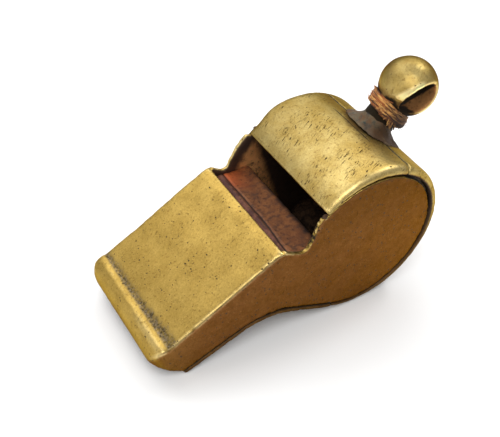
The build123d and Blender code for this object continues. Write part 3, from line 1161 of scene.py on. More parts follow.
def rolled(distance: Numbers, reach: float, depth: float) -> Numbers:
    """Drop of a rounded edge of some reach and depth, at a distance from it."""
    share = ramp(np.maximum(distance, 0), reach, 0)
    return depth * (1 - np.sqrt(1 - share ** 2))


def merged_copy(node: str) -> Mesh:
    """Copies a CAD node's loose triangles into one joined mesh.

    Args:
        node: Name of the node.

    Returns:
        The copy.
    """
    bm = bmesh.new()
    bm.from_mesh(frame["nodes"][node].data)
    bmesh.ops.remove_doubles(bm, verts=bm.verts, dist=0.002 * MM)
    return finished(bm, f"{node}_copy")


def finished(bm: bmesh.types.BMesh, name: str) -> Mesh:
    """Turns a bmesh into a mesh and frees it.

    Args:
        bm: Shape.
        name: Name of the mesh.

    Returns:
        The mesh.
    """
    mesh = bpy.data.meshes.new(name)
    bm.to_mesh(mesh)
    bm.free()
    return mesh


def evaluated(data: bpy.types.ID, kind: Optional[str] = None, **settings: object) -> Mesh:
    """Makes a mesh of a curve, or of another mesh under one modifier.

    Args:
        data: Curve or mesh.
        kind: Modifier's type, if any.
        settings: Modifier's properties.

    Returns:
        The new mesh.
    """
    holder = bpy.data.objects.new("holder", data)
    bpy.context.scene.collection.objects.link(holder)
    if kind:
        modifier = holder.modifiers.new(kind, kind)
        for key, value in settings.items():
            setattr(modifier, key, value)
    made = bpy.data.meshes.new_from_object(holder.evaluated_get(bpy.context.evaluated_depsgraph_get()))
    bpy.data.objects.remove(holder)
    return made


def rows(items: bpy.types.bpy_prop_collection, key: str) -> Numbers:
    """Reads one vector of each item.

    Args:
        items: Points or normals of a mesh.
        key: Name of the vector.

    Returns:
        The vectors as rows.
    """
    found = np.empty(len(items) * 3, np.float32)
    items.foreach_get(key, found)
    return found.reshape(-1, 3).astype(float)


def neighbour_mean(mesh: Mesh, values: Numbers) -> Numbers:
    """Averages what each point's neighbours have.

    Args:
        mesh: Mesh.
        values: A number or a row for each point.

    Returns:
        Mean over each point's neighbours.
    """
    ends = np.empty(len(mesh.edges) * 2, np.int32)
    mesh.edges.foreach_get("vertices", ends)
    ends = ends.reshape(-1, 2)
    total = np.zeros_like(values)
    count = np.zeros(len(values))
    for here, there in ((0, 1), (1, 0)):
        np.add.at(total, ends[:, here], values[ends[:, there]])
        np.add.at(count, ends[:, here], 1)
    return total / count.reshape((-1,) + (1,) * (values.ndim - 1))


def move_points(mesh: Mesh, points: Numbers) -> None:
    """Puts a mesh's points in new places, in millimetres."""
    mesh.vertices.foreach_set("co", (points * MM).astype(np.float32).ravel())
    mesh.update()


def write_points(mesh: Mesh, name: str, values: Numbers) -> None:
    """Writes a number from 0 to 1 on each point of a mesh."""
    layer = mesh.attributes.new(name, "FLOAT", "POINT")
    layer.data.foreach_set("value", np.clip(values, 0, 1).astype(np.float32))


def rubbed_edges(mesh: Mesh, spacing: float) -> Numbers:
    """Finds the edges that stand out.

    Args:
        mesh: Mesh.
        spacing: Distance between its points.

    Returns:
        How far each point stands out from its neighbours, 1 on a sharp outer edge.
    """
    points = rows(mesh.vertices, "co") / MM
    bulge = points - neighbour_mean(mesh, points)
    found = np.einsum("ij,ij->i", bulge, rows(mesh.vertex_normals, "vector")) / spacing
    for _ in range(2):
        found = neighbour_mean(mesh, found)
    return found / SHARP_BULGE


def seam_dirt(mesh: Mesh, node: str, reach: float) -> Numbers:
    """Finds the seams between a piece and the others that are soldered to it.

    Args:
        mesh: Piece's mesh.
        node: CAD node that it stands for.
        reach: How far grime spreads from a seam.

    Returns:
        How near each point is to another piece, 1 where they touch.
    """
    verts, faces = [], []
    for name, other in frame["nodes"].items():
        if name in (node, "cork_pea", "neck_twine"):
            continue
        start = len(verts)
        verts.extend(v.co for v in other.data.vertices)
        faces.extend([start + i for i in p.vertices] for p in other.data.polygons)
    tree = BVHTree.FromPolygons(verts, faces)
    far = reach * MM
    found = []
    for point in mesh.vertices:
        distance = tree.find_nearest(point.co, far)[3]
        found.append(0.0 if distance is None else 1 - distance / far)
    return np.array(found)


def stand(name: str, mesh: Mesh, material: Material) -> Piece:
    """Puts a finished mesh in the scene, smooth, dressed and riding on the whistle.

    Args:
        name: Name of the piece.
        mesh: Its mesh.
        material: Its finish.

    Returns:
        The piece.
    """
    mesh.name = name
    mesh.materials.clear()
    mesh.materials.append(material)
    mesh.polygons.foreach_set("use_smooth", [True] * len(mesh.polygons))
    piece = bpy.data.objects.new(name, mesh)
    bpy.context.scene.collection.objects.link(piece)
    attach(piece, "whistle")
    LOG.info("%s: %d points", name, len(mesh.vertices))
    return piece


@dataclass
class Skin:
    """Points of a piece, measured in the ways that its wear needs.

    Attributes:
        points: Places of the points, as rows.
        normals: Their normals, as rows.
        layout: Shared places.
    """

    points: Numbers
    normals: Numbers
    layout: Layout

    @classmethod
    def of(cls, mesh: Mesh, layout: Layout) -> "Skin":
        """Reads a mesh."""
        return cls(rows(mesh.vertices, "co") / MM, rows(mesh.vertex_normals, "vector"), layout)

    @property
    def across(self) -> Numbers:
        """Place across the whistle, less than 0 on the near side."""
        return self.points[:, 1]

    @property
    def away(self) -> Numbers:
        """Way from the drum's middle."""
        return self.points - np.array(self.layout.axis)

    @property
    def from_ball(self) -> Numbers:
        """Way from the ball's middle."""
        return self.points - np.array(self.layout.ball)

    @property
    def radius(self) -> Numbers:
        """Distance from the drum's axis."""
        return np.hypot(self.away[:, 0], self.away[:, 2])

    @property
    def turn(self) -> Numbers:
        """Angle round the drum's axis."""
        return np.degrees(np.arctan2(self.away[:, 2], self.away[:, 0]))

    @property
    def level(self) -> Numbers:
        """Height over the drum's axis, along the loop."""
        return self.away @ np.array(self.layout.loop_direction)

    def outward(self, way: Numbers, slack: float = 0.0) -> Numbers:
        """How far normals look along each point's way from a line across, whose length gets some slack."""
        x, _, z = way.T
        return (self.normals[:, 0] * x + self.normals[:, 2] * z) / (np.hypot(x, z) + slack)

    def lumps(self, size: float, shift: float = 0.0) -> Numbers:
        """Smooth random number from -1 to 1 at each point, with lumps of a size."""
        return np.array([noise.noise(p) for p in (self.points / size + shift).tolist()])


@dataclass
class WornPiece:
    """One piece re-skinned as old metal: an even fine mesh, softened edges, nicks and shallow dents.

    Attributes:
        node: CAD node that it stands for.
        slot: Record's material slot.
        spacing: Distance between the skin's points.
        softenings: Times that the skin is smoothed.
        dent_depth: Depth of the hand-worn unevenness.
        dent_size: Width of one dent.
        nick_depth: Depth of the nicks in the edges.
        dirt_reach: How far grime spreads from a seam.
        nick_size: Length of one nick.
        inner_face: How far a face looks inwards that is tarnished.
    """

    node: str
    slot: str = "aged_brass"
    spacing: float = 0.2
    softenings: int = 4
    dent_depth: float = 0.06
    dent_size: float = 4.0
    nick_depth: float = 0.22
    dirt_reach: float = 0.45
    nick_size: float = 0.9
    inner_face: Fade = (-0.2, -0.6)

    def build(self, layout: Layout, material: Material) -> Piece:
        """Makes the skin, wears it, marks its wear and dresses it.

        Args:
            layout: Shared places.
            material: Finish.

        Returns:
            The piece.
        """
        mesh = self._soft_mesh()
        move_points(mesh, self.bend(Skin.of(mesh, layout)))
        skin = Skin.of(mesh, layout)
        sharp = np.clip(rubbed_edges(mesh, self.spacing), 0, 1)
        nicks = np.clip(skin.lumps(self.nick_size, shift=31.0), 0, 1) * sharp
        swell = self.dent_depth * skin.lumps(self.dent_size)
        swell -= self.nick_depth * nicks + self.damage(skin)
        move_points(mesh, skin.points + skin.normals * swell[:, None])
        # polished also carries painted highlights, and soiled painted shade.
        bright = self.polished_and_highlit(skin)
        grime = seam_dirt(mesh, self.node, self.dirt_reach) * (1 - bright)
        write_points(mesh, "edge", np.maximum(rubbed_edges(mesh, self.spacing), bright))
        write_points(mesh, "dirt_and_shade", np.maximum(grime, self.soiled_and_shaded(skin)))
        write_points(mesh, "inside", self.inside(Skin.of(mesh, layout)))
        piece = stand(f"{self.node}_worn", mesh, material)
        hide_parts(self.node)
        return piece

    def _soft_mesh(self) -> Mesh:
        """Makes an even mesh of the node's shape, with soft edges.

        Returns:
            The mesh.
        """
        copy = merged_copy(self.node)
        mesh = evaluated(copy, "REMESH", mode="VOXEL", voxel_size=self.spacing * MM)
        bpy.data.meshes.remove(copy)
        bm = bmesh.new()
        bm.from_mesh(mesh)
        for _ in range(self.softenings):
            bmesh.ops.smooth_vert(
                bm, verts=bm.verts, factor=0.5, use_axis_x=True, use_axis_y=True, use_axis_z=True
            )
        bm.to_mesh(mesh)
        bm.free()
        return mesh

    def bend(self, skin: Skin) -> Numbers:
        """Points after the piece is bent out of its drawn form."""
        return skin.points

    def damage(self, skin: Skin) -> Numbers:
        """Depth that is lost at each point, beside the dents and nicks."""
        return np.zeros(len(skin.points))

    def polished_and_highlit(self, skin: Skin) -> Numbers:
        """1 where use keeps the piece bright away from its sharp edges, and where a highlight is painted."""
        return np.zeros(len(skin.points))

    def soiled_and_shaded(self, skin: Skin) -> Numbers:
        """1 where the piece is black, with grime and with painted shade, away from its seams."""
        return np.zeros(len(skin.points))

    def inside(self, skin: Skin) -> Numbers:
        """1 on the faces that look into the whistle, 0 outside."""
        return np.zeros(len(skin.points))


@dataclass
class MouthpieceShell(WornPiece):
    """Folded top and cheeks, with a jagged window edge.

    Attributes:
        window_radius: Radius of the cheeks' window edge round the drum's axis.
        window_half: How far to either side of that radius the edge reaches.
        window_start, window_end: Where that edge starts and ends, round the drum.
        bite, bitten: Depth of the bites out of the near side's edge, and where they end.
        tooth_size, tooth_share: Width of one bite, and how much of the edge is bitten off.
        cut: How much lower than drawn the near side's edge is worn.
        cut_start, cut_end: Where it is lower, round the drum.
        cut_inner, cut_outer: Radii round the drum's axis between which the sheet follows.
        gold_rims: Where the near and far edges' clean outer parts start, from the whistle's middle plane.
        rim_soft, near_gold: Softness of that line, and brightness of the near part.
        gap_size, gap_level, gap_contrast: Dark gaps in the jagged edge: size, level and contrast.
        rear: Rear edge of the top in the side view, from the drum's middle.
        rear_reach: How far behind that edge, and above or below the top, the rounding works.
        roll: Length and depth of the rounding.
        bead_start, bead_top: Where the bite lip starts, from the rear edge, and its greatest height.
        bead_fade, bead_far: Share of its height that the bite lip loses at the far end, and where.
        crest_painted_highlight, crest_height, crest_across: Brightness of the painted highlight on its crest,
        and where it is, brightest towards the near side.
        nick, nick_stretch, nick_fade: Dark nick in the near cheek's lower seam, from the drum's middle, its
            stretch and its reach.
        seam_radius: Where the grime of the near cheek's widest seam starts, round the drum's axis.
        seam_start, seam_end: Where that seam is, round the drum.
        wall: Depth of the cheeks' inner faces under the drum's rims, in sheets.
    """

    window_radius: float = 11.5
    window_half: float = 0.5
    window_start: float = 136.0
    window_end: Fade = (172.0, 164.0)
    bite: float = 0.34
    bitten: Fade = (160.0, 156.0)
    tooth_size: float = 0.45
    tooth_share: float = 0.15
    cut: float = 1.0
    cut_start: Fade = (138.0, 154.0)
    cut_end: Fade = (177.0, 168.0)
    cut_inner: Fade = (9.0, 11.5)
    cut_outer: Fade = (13.5, 12.0)
    gold_rims: Span = (9.25, 9.0)
    rim_soft: float = 0.15
    near_gold: float = 0.25
    gap_size: float = 0.5
    gap_level: float = 0.9
    gap_contrast: float = 2.6
    rear: Span = (-14.08, 4.44)
    rear_reach: Span = (0.6, 1.5)
    roll: Span = (1.6, 0.55)
    bead_start: float = 10.0
    bead_top: float = 2.0
    bead_fade: float = 0.7
    bead_far: Fade = (5.5, 9.5)
    crest_painted_highlight: float = 0.75
    crest_height: Fade = (0.2, 0.7)
    crest_across: Fade = (3.0, -4.0)
    nick: Triple = (-4.91, -9.6, -9.83)
    nick_stretch: Triple = (0.7, 1.0, 1.6)
    nick_fade: Fade = (0.715, 0.165)
    seam_radius: Fade = (10.45, 10.65)
    seam_start: Fade = (-5.0, 10.0)
    seam_end: Fade = (75.0, 60.0)
    wall: float = 3.0

    def _over_top(self, skin: Skin) -> Tuple[Numbers, Numbers, Numbers]:
        """Measures the points over the top.

        Args:
            skin: Points of the shell.

        Returns:
            Distance of each point from the top's rear edge towards the tip, its height over the top, and
            the direction square to the top.
        """
        tilt = math.radians(skin.layout.plate_tilt)
        upward = np.array((-math.sin(tilt), 0.0, math.cos(tilt)))
        from_rear = skin.away - np.array((self.rear[0], 0.0, self.rear[1]))
        return -from_rear @ np.array((upward[2], 0.0, -upward[0])), from_rear @ upward, upward

    def bend(self, skin: Skin) -> Numbers:
        """Rolls the top's rear edge down, lets the bite lip's far end fade, and lowers the window edge.

        Args:
            skin: Points of the drawn shell.

        Returns:
            Points of the worn shell.
        """
        left, height, upward = self._over_top(skin)
        behind, beside = self.rear_reach
        share = ramp(height, -skin.layout.sheet, 0) * (left > -behind) * (np.abs(height) < beside)
        bead = np.clip(height, 0, self.bead_top) * (left > self.bead_start)
        bead *= ramp(skin.across, *self.bead_far)
        drop = rolled(left, *self.roll) * share + self.bead_fade * bead
        skin = Skin(skin.points - np.outer(drop, upward), skin.normals, skin.layout)
        cut = self._cut(skin) * ramp(skin.radius, *self.cut_inner) * ramp(skin.radius, *self.cut_outer)
        inward = -skin.away * np.array((1.0, 0.0, 1.0))
        return skin.points + inward * (cut / skin.radius)[:, None]

    def _cut(self, skin: Skin) -> Numbers:
        """How far the near side's window edge is worn down."""
        stretch = ramp(skin.turn, *self.cut_start) * ramp(skin.turn, *self.cut_end)
        return self.cut * stretch * (skin.across < 0)

    def _window_edge(self, skin: Skin) -> Numbers:
        """1 on the cheeks' window edges."""
        found = ramp(np.abs(skin.radius - self.window_radius + self._cut(skin)), self.window_half, 0)
        return found * (skin.turn > self.window_start) * ramp(skin.turn, *self.window_end)

    def _bitten_edge(self, skin: Skin) -> Numbers:
        """1 on the stretch of the near cheek's window edge that is jagged."""
        return self._window_edge(skin) * ramp(skin.turn, *self.bitten) * (skin.across < 0)

    def _within_rim(self, skin: Skin) -> Numbers:
        """How far each point lies inside the window edge's clean outer part."""
        return np.where(skin.across < 0, *self.gold_rims) - np.abs(skin.across)

    def damage(self, skin: Skin) -> Numbers:
        """Bites out of the near cheek's window edge."""
        teeth = np.clip(skin.lumps(self.tooth_size, shift=77.0) + self.tooth_share, 0, 1)
        return self.bite * self._bitten_edge(skin) * teeth

    def polished_and_highlit(self, skin: Skin) -> Numbers:
        """Marks the window edges' outer parts and a painted highlight on the bite lip's near crest.

        Args:
            skin: Points of the shell.

        Returns:
            How bright each point is.
        """
        outer = ramp(self._within_rim(skin), 0, -self.rim_soft)
        outer *= np.where(skin.across < 0, self.near_gold, 1.0)
        left, height, _ = self._over_top(skin)
        # Painted highlight on the bite lip's crest, brightest towards the near side.
        crest = ramp(height, *self.crest_height) * (left > self.bead_start)
        crest *= ramp(skin.across, *self.crest_across)
        return np.maximum(self._window_edge(skin) * outer, self.crest_painted_highlight * crest)

    def soiled_and_shaded(self, skin: Skin) -> Numbers:
        """Marks painted shade on the far window edge's inner part, gaps in the near one, the near cheek's
        widest
            seam, and a nick in its lower seam.

        Args:
            skin: Points of the shell.

        Returns:
            How black each point is.
        """
        inner = ramp(self._within_rim(skin), 0, self.rim_soft)
        gaps = np.clip(self.gap_level + self.gap_contrast * skin.lumps(self.gap_size, shift=9.0), 0, 1.5)
        gaps *= (0.6 + 0.4 * inner) * (self._bitten_edge(skin) > 0)
        # Painted shade on the far window edge's inner part; dark gaps in the near edge.
        patches = self._window_edge(skin) * np.where(skin.across > 0, inner, gaps)
        seam = ramp(skin.turn, *self.seam_start) * ramp(skin.turn, *self.seam_end) * (skin.across < 0)
        seam *= ramp(skin.radius, *self.seam_radius)
        from_nick = (skin.away - np.array(self.nick)) * np.array(self.nick_stretch)
        spot = ramp(np.linalg.norm(from_nick, axis=1), *self.nick_fade)
        return np.maximum.reduce((patches, seam, spot))

    def inside(self, skin: Skin) -> Numbers:
        """Marks the cheeks' inner faces.

        Args:
            skin: Points of the shell.

        Returns:
            1 on those faces.
        """
        facing = skin.normals[:, 1] * np.sign(skin.across)
        wall = skin.layout.width / 2 - self.wall * skin.layout.sheet
        return ramp(facing, *self.inner_face) * (np.abs(skin.across) > wall)


@dataclass
class DrumBand(WornPiece):
    """Strip round the drum, with rolled rims.

    Attributes:
        roll: Length and depth of the rounding of its rims.
        growth: How much thicker the worn band is than its drawn sheet.
        growth_start, growth_end: Where it is thicker, round the drum, clear of the table and the lip.
        corner_inset: How far the lip's far corner stands back from the cheek.
        corner_turns, corner_end: Where the rim stands back, round the drum.
        corner_across: Where it stands back, across.
    """

    roll: Span = (1.3, 0.6)
    growth: float = 0.4
    growth_start: Fade = (-82.0, -62.0)
    growth_end: Fade = (130.0, 105.0)
    corner_inset: float = 0.7
    corner_turns: Fade = (112.0, 126.0)
    corner_end: float = 140.0
    corner_across: Fade = (6.5, 9.7)

    def bend(self, skin: Skin) -> Numbers:
        """Rolls both rims, thickens the band, and draws the lip's far corner in.

        Args:
            skin: Points of the drawn band.

        Returns:
            Points of the worn band.
        """
        layout = skin.layout
        radius, turn = skin.radius, skin.turn
        thicker = ramp(turn, *self.growth_start) * ramp(turn, *self.growth_end)
        drop = rolled(layout.width / 2 - np.abs(skin.across), *self.roll) - self.growth * thicker
        drop *= ramp(radius, layout.drum_radius - layout.sheet, layout.drum_radius)
        moved = skin.away
        moved[:, (0, 2)] *= (1 - drop / radius)[:, None]
        corner = ramp(turn, *self.corner_turns) * ramp(skin.across, *self.corner_across)
        moved[:, 1] -= self.corner_inset * corner * (turn < self.corner_end)
        return moved + np.array(layout.axis)

    def inside(self, skin: Skin) -> Numbers:
        """Marks the faces that look towards the drum's axis."""
        return ramp(skin.outward(skin.away), *self.inner_face)


@dataclass
class AirwayStrip(WornPiece):
    """Strip under the window, with a slit along the ledge's edge, soldered tight to both cheeks.

    Attributes:
        spread, side: Share by which its sides are spread to meet the cheeks, and where they are, across.
        slit: Depth of the slit.
        slit_past, slit_half: Where the slit is past the ledge's edge, and half its breadth.
        level: How far up a face looks that the slit is cut in.
    """

    spread: float = 0.03
    side: Fade = (7.0, 8.5)
    slit: float = 0.22
    slit_past: float = 0.15
    slit_half: float = 0.22
    level: float = 0.5

    def bend(self, skin: Skin) -> Numbers:
        """Spreads the strip's sides.

        Args:
            skin: Points of the drawn strip.

        Returns:
            Points of the worn strip.
        """
        moved = skin.points.copy()
        moved[:, 1] *= 1 + self.spread * ramp(np.abs(skin.across), *self.side)
        return moved

    def damage(self, skin: Skin) -> Numbers:
        """Cuts the slit.

        Args:
            skin: Points of the strip.

        Returns:
            Depth of the cut.
        """
        layout = skin.layout
        past = skin.away[:, 0] - layout.crest - layout.crest_skew * ramp(skin.across, *layout.crest_bend)
        cut = ramp(np.abs(past - self.slit_past), self.slit_half, 0)
        return self.slit * cut * (skin.normals[:, 2] > self.level)


@dataclass
class BoredBall(WornPiece):
    """Lanyard ball on its neck: bore worn oval, tarnished and with painted shadow inside, and a blackened
    neck.

    Attributes:
        bore_radius: Bore's radius before wear.
        bore_face: How far a face looks at the bore's middle that is tarnished.
        wear_turn: Direction in which the bore is worn, in the side view.
        wear_stretch: Growth of the bore along and across that direction.
        wear_shift: How far the bore's middle has moved against that direction.
        neck_below, neck_growth: Where the neck starts below the ball's middle, and the share by which grime
        and corrosion thicken it.
        neck_soot, neck_stray, neck_lumps: Heights over the drum's axis between which the neck blackens, how
            ragged that is, and the size of its lumps.
        rim_reach, rim_fade, rim_shine: Where the bore's rubbed rim is, from the bore, how it fades to either
            side, and its greatest brightness.
        rim_along: Where that rim ends, along the wear.
        shadow_slope: Direction in which painted shadow blackens the bore's wall.
        shadow_depth, painted_shadow_fade, soot_and_shade_stray: How far before the ball's middle that starts,
        over how far, and
            how ragged it is.
        soot_and_shade_lumps: Size of that raggedness.
        bore_mouth: Where it ends at the far side, from the ball's middle.
        ball_slack, ball_skin, bore_skin: How far off the ball its points may lie, how deep its outside
            reaches, and how deep the bore's wall starts.
    """

    bore_radius: float = 2.1
    bore_face: Fade = (-0.35, -0.7)
    wear_turn: float = 26.0
    wear_stretch: Span = (1.3, 0.9)
    wear_shift: float = 0.49
    neck_below: Fade = (2.2, 3.8)
    neck_growth: float = 0.12
    neck_soot: Fade = (17.85, 16.35)
    neck_stray: float = 0.8
    neck_lumps: float = 0.9
    rim_reach: float = 0.6
    rim_fade: Fade = (0.68, -0.12)
    rim_shine: float = 0.6
    rim_along: Fade = (1.5, 0.7)
    shadow_slope: Triple = (-0.147, 0.784, 0.601)
    shadow_depth: float = 2.25
    painted_shadow_fade: float = 0.7
    soot_and_shade_stray: float = 0.15
    soot_and_shade_lumps: float = 1.5
    bore_mouth: Fade = (3.0, 1.8)
    ball_slack: float = 0.2
    ball_skin: float = 0.3
    bore_skin: float = 0.25

    def _wear_frame(self, skin: Skin) -> Tuple[Numbers, Numbers]:
        """Places of the points along and across the bore's wear, from the ball's middle.

        Args:
            skin: Points of the loop.

        Returns:
            Both places.
        """
        x, _, z = skin.from_ball.T
        turn = math.radians(self.wear_turn)
        return x * math.cos(turn) + z * math.sin(turn), z * math.cos(turn) - x * math.sin(turn)

    def bend(self, skin: Skin) -> Numbers:
        """Wears the bore to an oval, keeps its rims on the ball, and bends and thickens the neck.

        Args:
            skin: Points of the drawn loop.

        Returns:
            Points of the worn loop.
        """
        layout = skin.layout
        size = layout.ball_radius
        along, aside = self._wear_frame(skin)
        ring = np.hypot(along, aside)
        share = ramp(ring, size, self.bore_radius)
        share *= np.linalg.norm(skin.from_ball, axis=1) < size + self.ball_slack
        along = along + share * (along * (self.wear_stretch[0] - 1) - self.wear_shift)
        aside = aside + share * aside * (self.wear_stretch[1] - 1)
        height = np.sqrt(np.maximum(size ** 2 - ring ** 2, 0.01))
        level = np.sqrt(np.maximum(size ** 2 - along ** 2 - aside ** 2, 0.01))
        turn = math.radians(self.wear_turn)
        moved = skin.from_ball
        moved[:, 0] = along * math.cos(turn) - aside * math.sin(turn)
        moved[:, 1] *= np.where(share > 0, level / height, 1.0)
        moved[:, 2] = aside * math.cos(turn) + along * math.sin(turn)
        up = np.array(layout.loop_direction)
        below = -skin.from_ball @ up
        neck = ramp(below, *self.neck_below)[:, None]
        moved += neck * self.neck_growth * (skin.from_ball + np.outer(below, up))
        moved += neck * np.outer(below, np.array(layout.lean))
        return moved + np.array(layout.ball)

    def polished_and_highlit(self, skin: Skin) -> Numbers:
        """Marks the bore's rims, which the lanyard rubs.

        Args:
            skin: Points of the loop.

        Returns:
            How bright each point is.
        """
        along, aside = self._wear_frame(skin)
        along = (along + self.wear_shift) / self.wear_stretch[0]
        reach = np.hypot(along, aside / self.wear_stretch[1]) - self.bore_radius
        rim = np.minimum(ramp(np.abs(reach - self.rim_reach), *self.rim_fade), self.rim_shine)
        outside = np.linalg.norm(skin.from_ball, axis=1) > skin.layout.ball_radius - self.ball_skin
        return outside * ramp(along, *self.rim_along) * rim

    def inside(self, skin: Skin) -> Numbers:
        """Marks the bore's wall, whose faces look at its middle."""
        within = np.linalg.norm(skin.from_ball, axis=1) < skin.layout.ball_radius
        return ramp(skin.outward(skin.from_ball, slack=0.01), *self.bore_face) * within

    def soiled_and_shaded(self, skin: Skin) -> Numbers:
        """Marks the neck, the ball's foot, and the painted shadow deep in the bore.

        Args:
            skin: Points of the loop.

        Returns:
            How black each point is.
        """
        stray = self.neck_stray * skin.lumps(self.neck_lumps, shift=5.0)
        neck = ramp(skin.level + stray, *self.neck_soot)
        within = np.linalg.norm(skin.from_ball, axis=1) < skin.layout.ball_radius - self.bore_skin
        # Painted shadow: black on the bore's wall under its upper rim and deep in it.
        deep = skin.from_ball @ np.array(self.shadow_slope) + self.shadow_depth
        deep += self.soot_and_shade_stray * skin.lumps(self.soot_and_shade_lumps, shift=2.0)
        bore = within * ramp(deep, 0, self.painted_shadow_fade) * ramp(skin.across, *self.bore_mouth)
        return np.maximum(neck, bore)


@dataclass
class SolderFoot(WornPiece):
    """Flared foot round the loop's neck, drawn up to a thin dark edge.

    Attributes:
        neck: Neck's radius with its gap.
        base: Height of the foot's base over the drum's axis, along the loop.
        height: Height of the foot.
        waist: How much of its breadth it loses towards the top.
        climb: How far its top creeps up the neck.
        flare: Growth of its base on the far side and behind.
        near_flare, front_flare: How much more it grows on the near side, and in front.
        lift: How far its base stands higher, on the thicker band.
        top_soot, soot_and_shade_stray, soot_and_shade_lumps: Heights over the foot's top between which it blackens, how ragged
            that is, and the size of its lumps.
    """

    neck: float = 2.2
    base: float = 11.9
    height: float = 1.5
    waist: float = 0.6
    climb: float = 0.5
    flare: float = 0.5
    near_flare: float = 1.7
    front_flare: float = 1.6
    lift: float = 0.35
    top_soot: Fade = (-0.1, 0.4)
    soot_and_shade_stray: float = 0.4
    soot_and_shade_lumps: float = 1.2

    def bend(self, skin: Skin) -> Numbers:
        """Narrows the foot's waist, spreads its base over the drum and draws its top up.

        Args:
            skin: Points of the drawn foot.

        Returns:
            Points of the worn foot.
        """
        layout = skin.layout
        up = np.array(layout.loop_direction)
        level = skin.level
        share = ramp(level, self.base, self.base + self.height)
        share = share * share * (3 - 2 * share)
        aside = skin.away - np.outer(level, up)
        reach = np.maximum(np.linalg.norm(aside, axis=1), 0.01)
        wider = np.maximum(reach - self.neck, 0)
        forward = aside @ np.array((-up[2], 0.0, up[0]))
        near = np.clip(-aside[:, 1] / reach, 0, 1)
        front = np.clip(forward / reach, 0, 1)
        flare = self.flare * (1 + self.near_flare * near + self.front_flare * front)
        growth = (reach - wider * self.waist * share + wider * flare * (1 - share) ** 2) / reach
        sag = np.maximum(growth ** 2 - 1, 0) * forward ** 2 / (2 * layout.drum_radius) * (1 - share)
        level = level + self.climb * share + self.lift * (1 - share) - sag
        strayed = np.outer(layout.ball_height - level, np.array(layout.lean))
        return np.outer(level, up) + aside * growth[:, None] + strayed + np.array(layout.axis)

    def soiled_and_shaded(self, skin: Skin) -> Numbers:
        """Marks the foot's top."""
        stray = self.soot_and_shade_stray * skin.lumps(self.soot_and_shade_lumps, shift=3.0)
        return ramp(skin.level - self.base - self.height + stray, *self.top_soot)


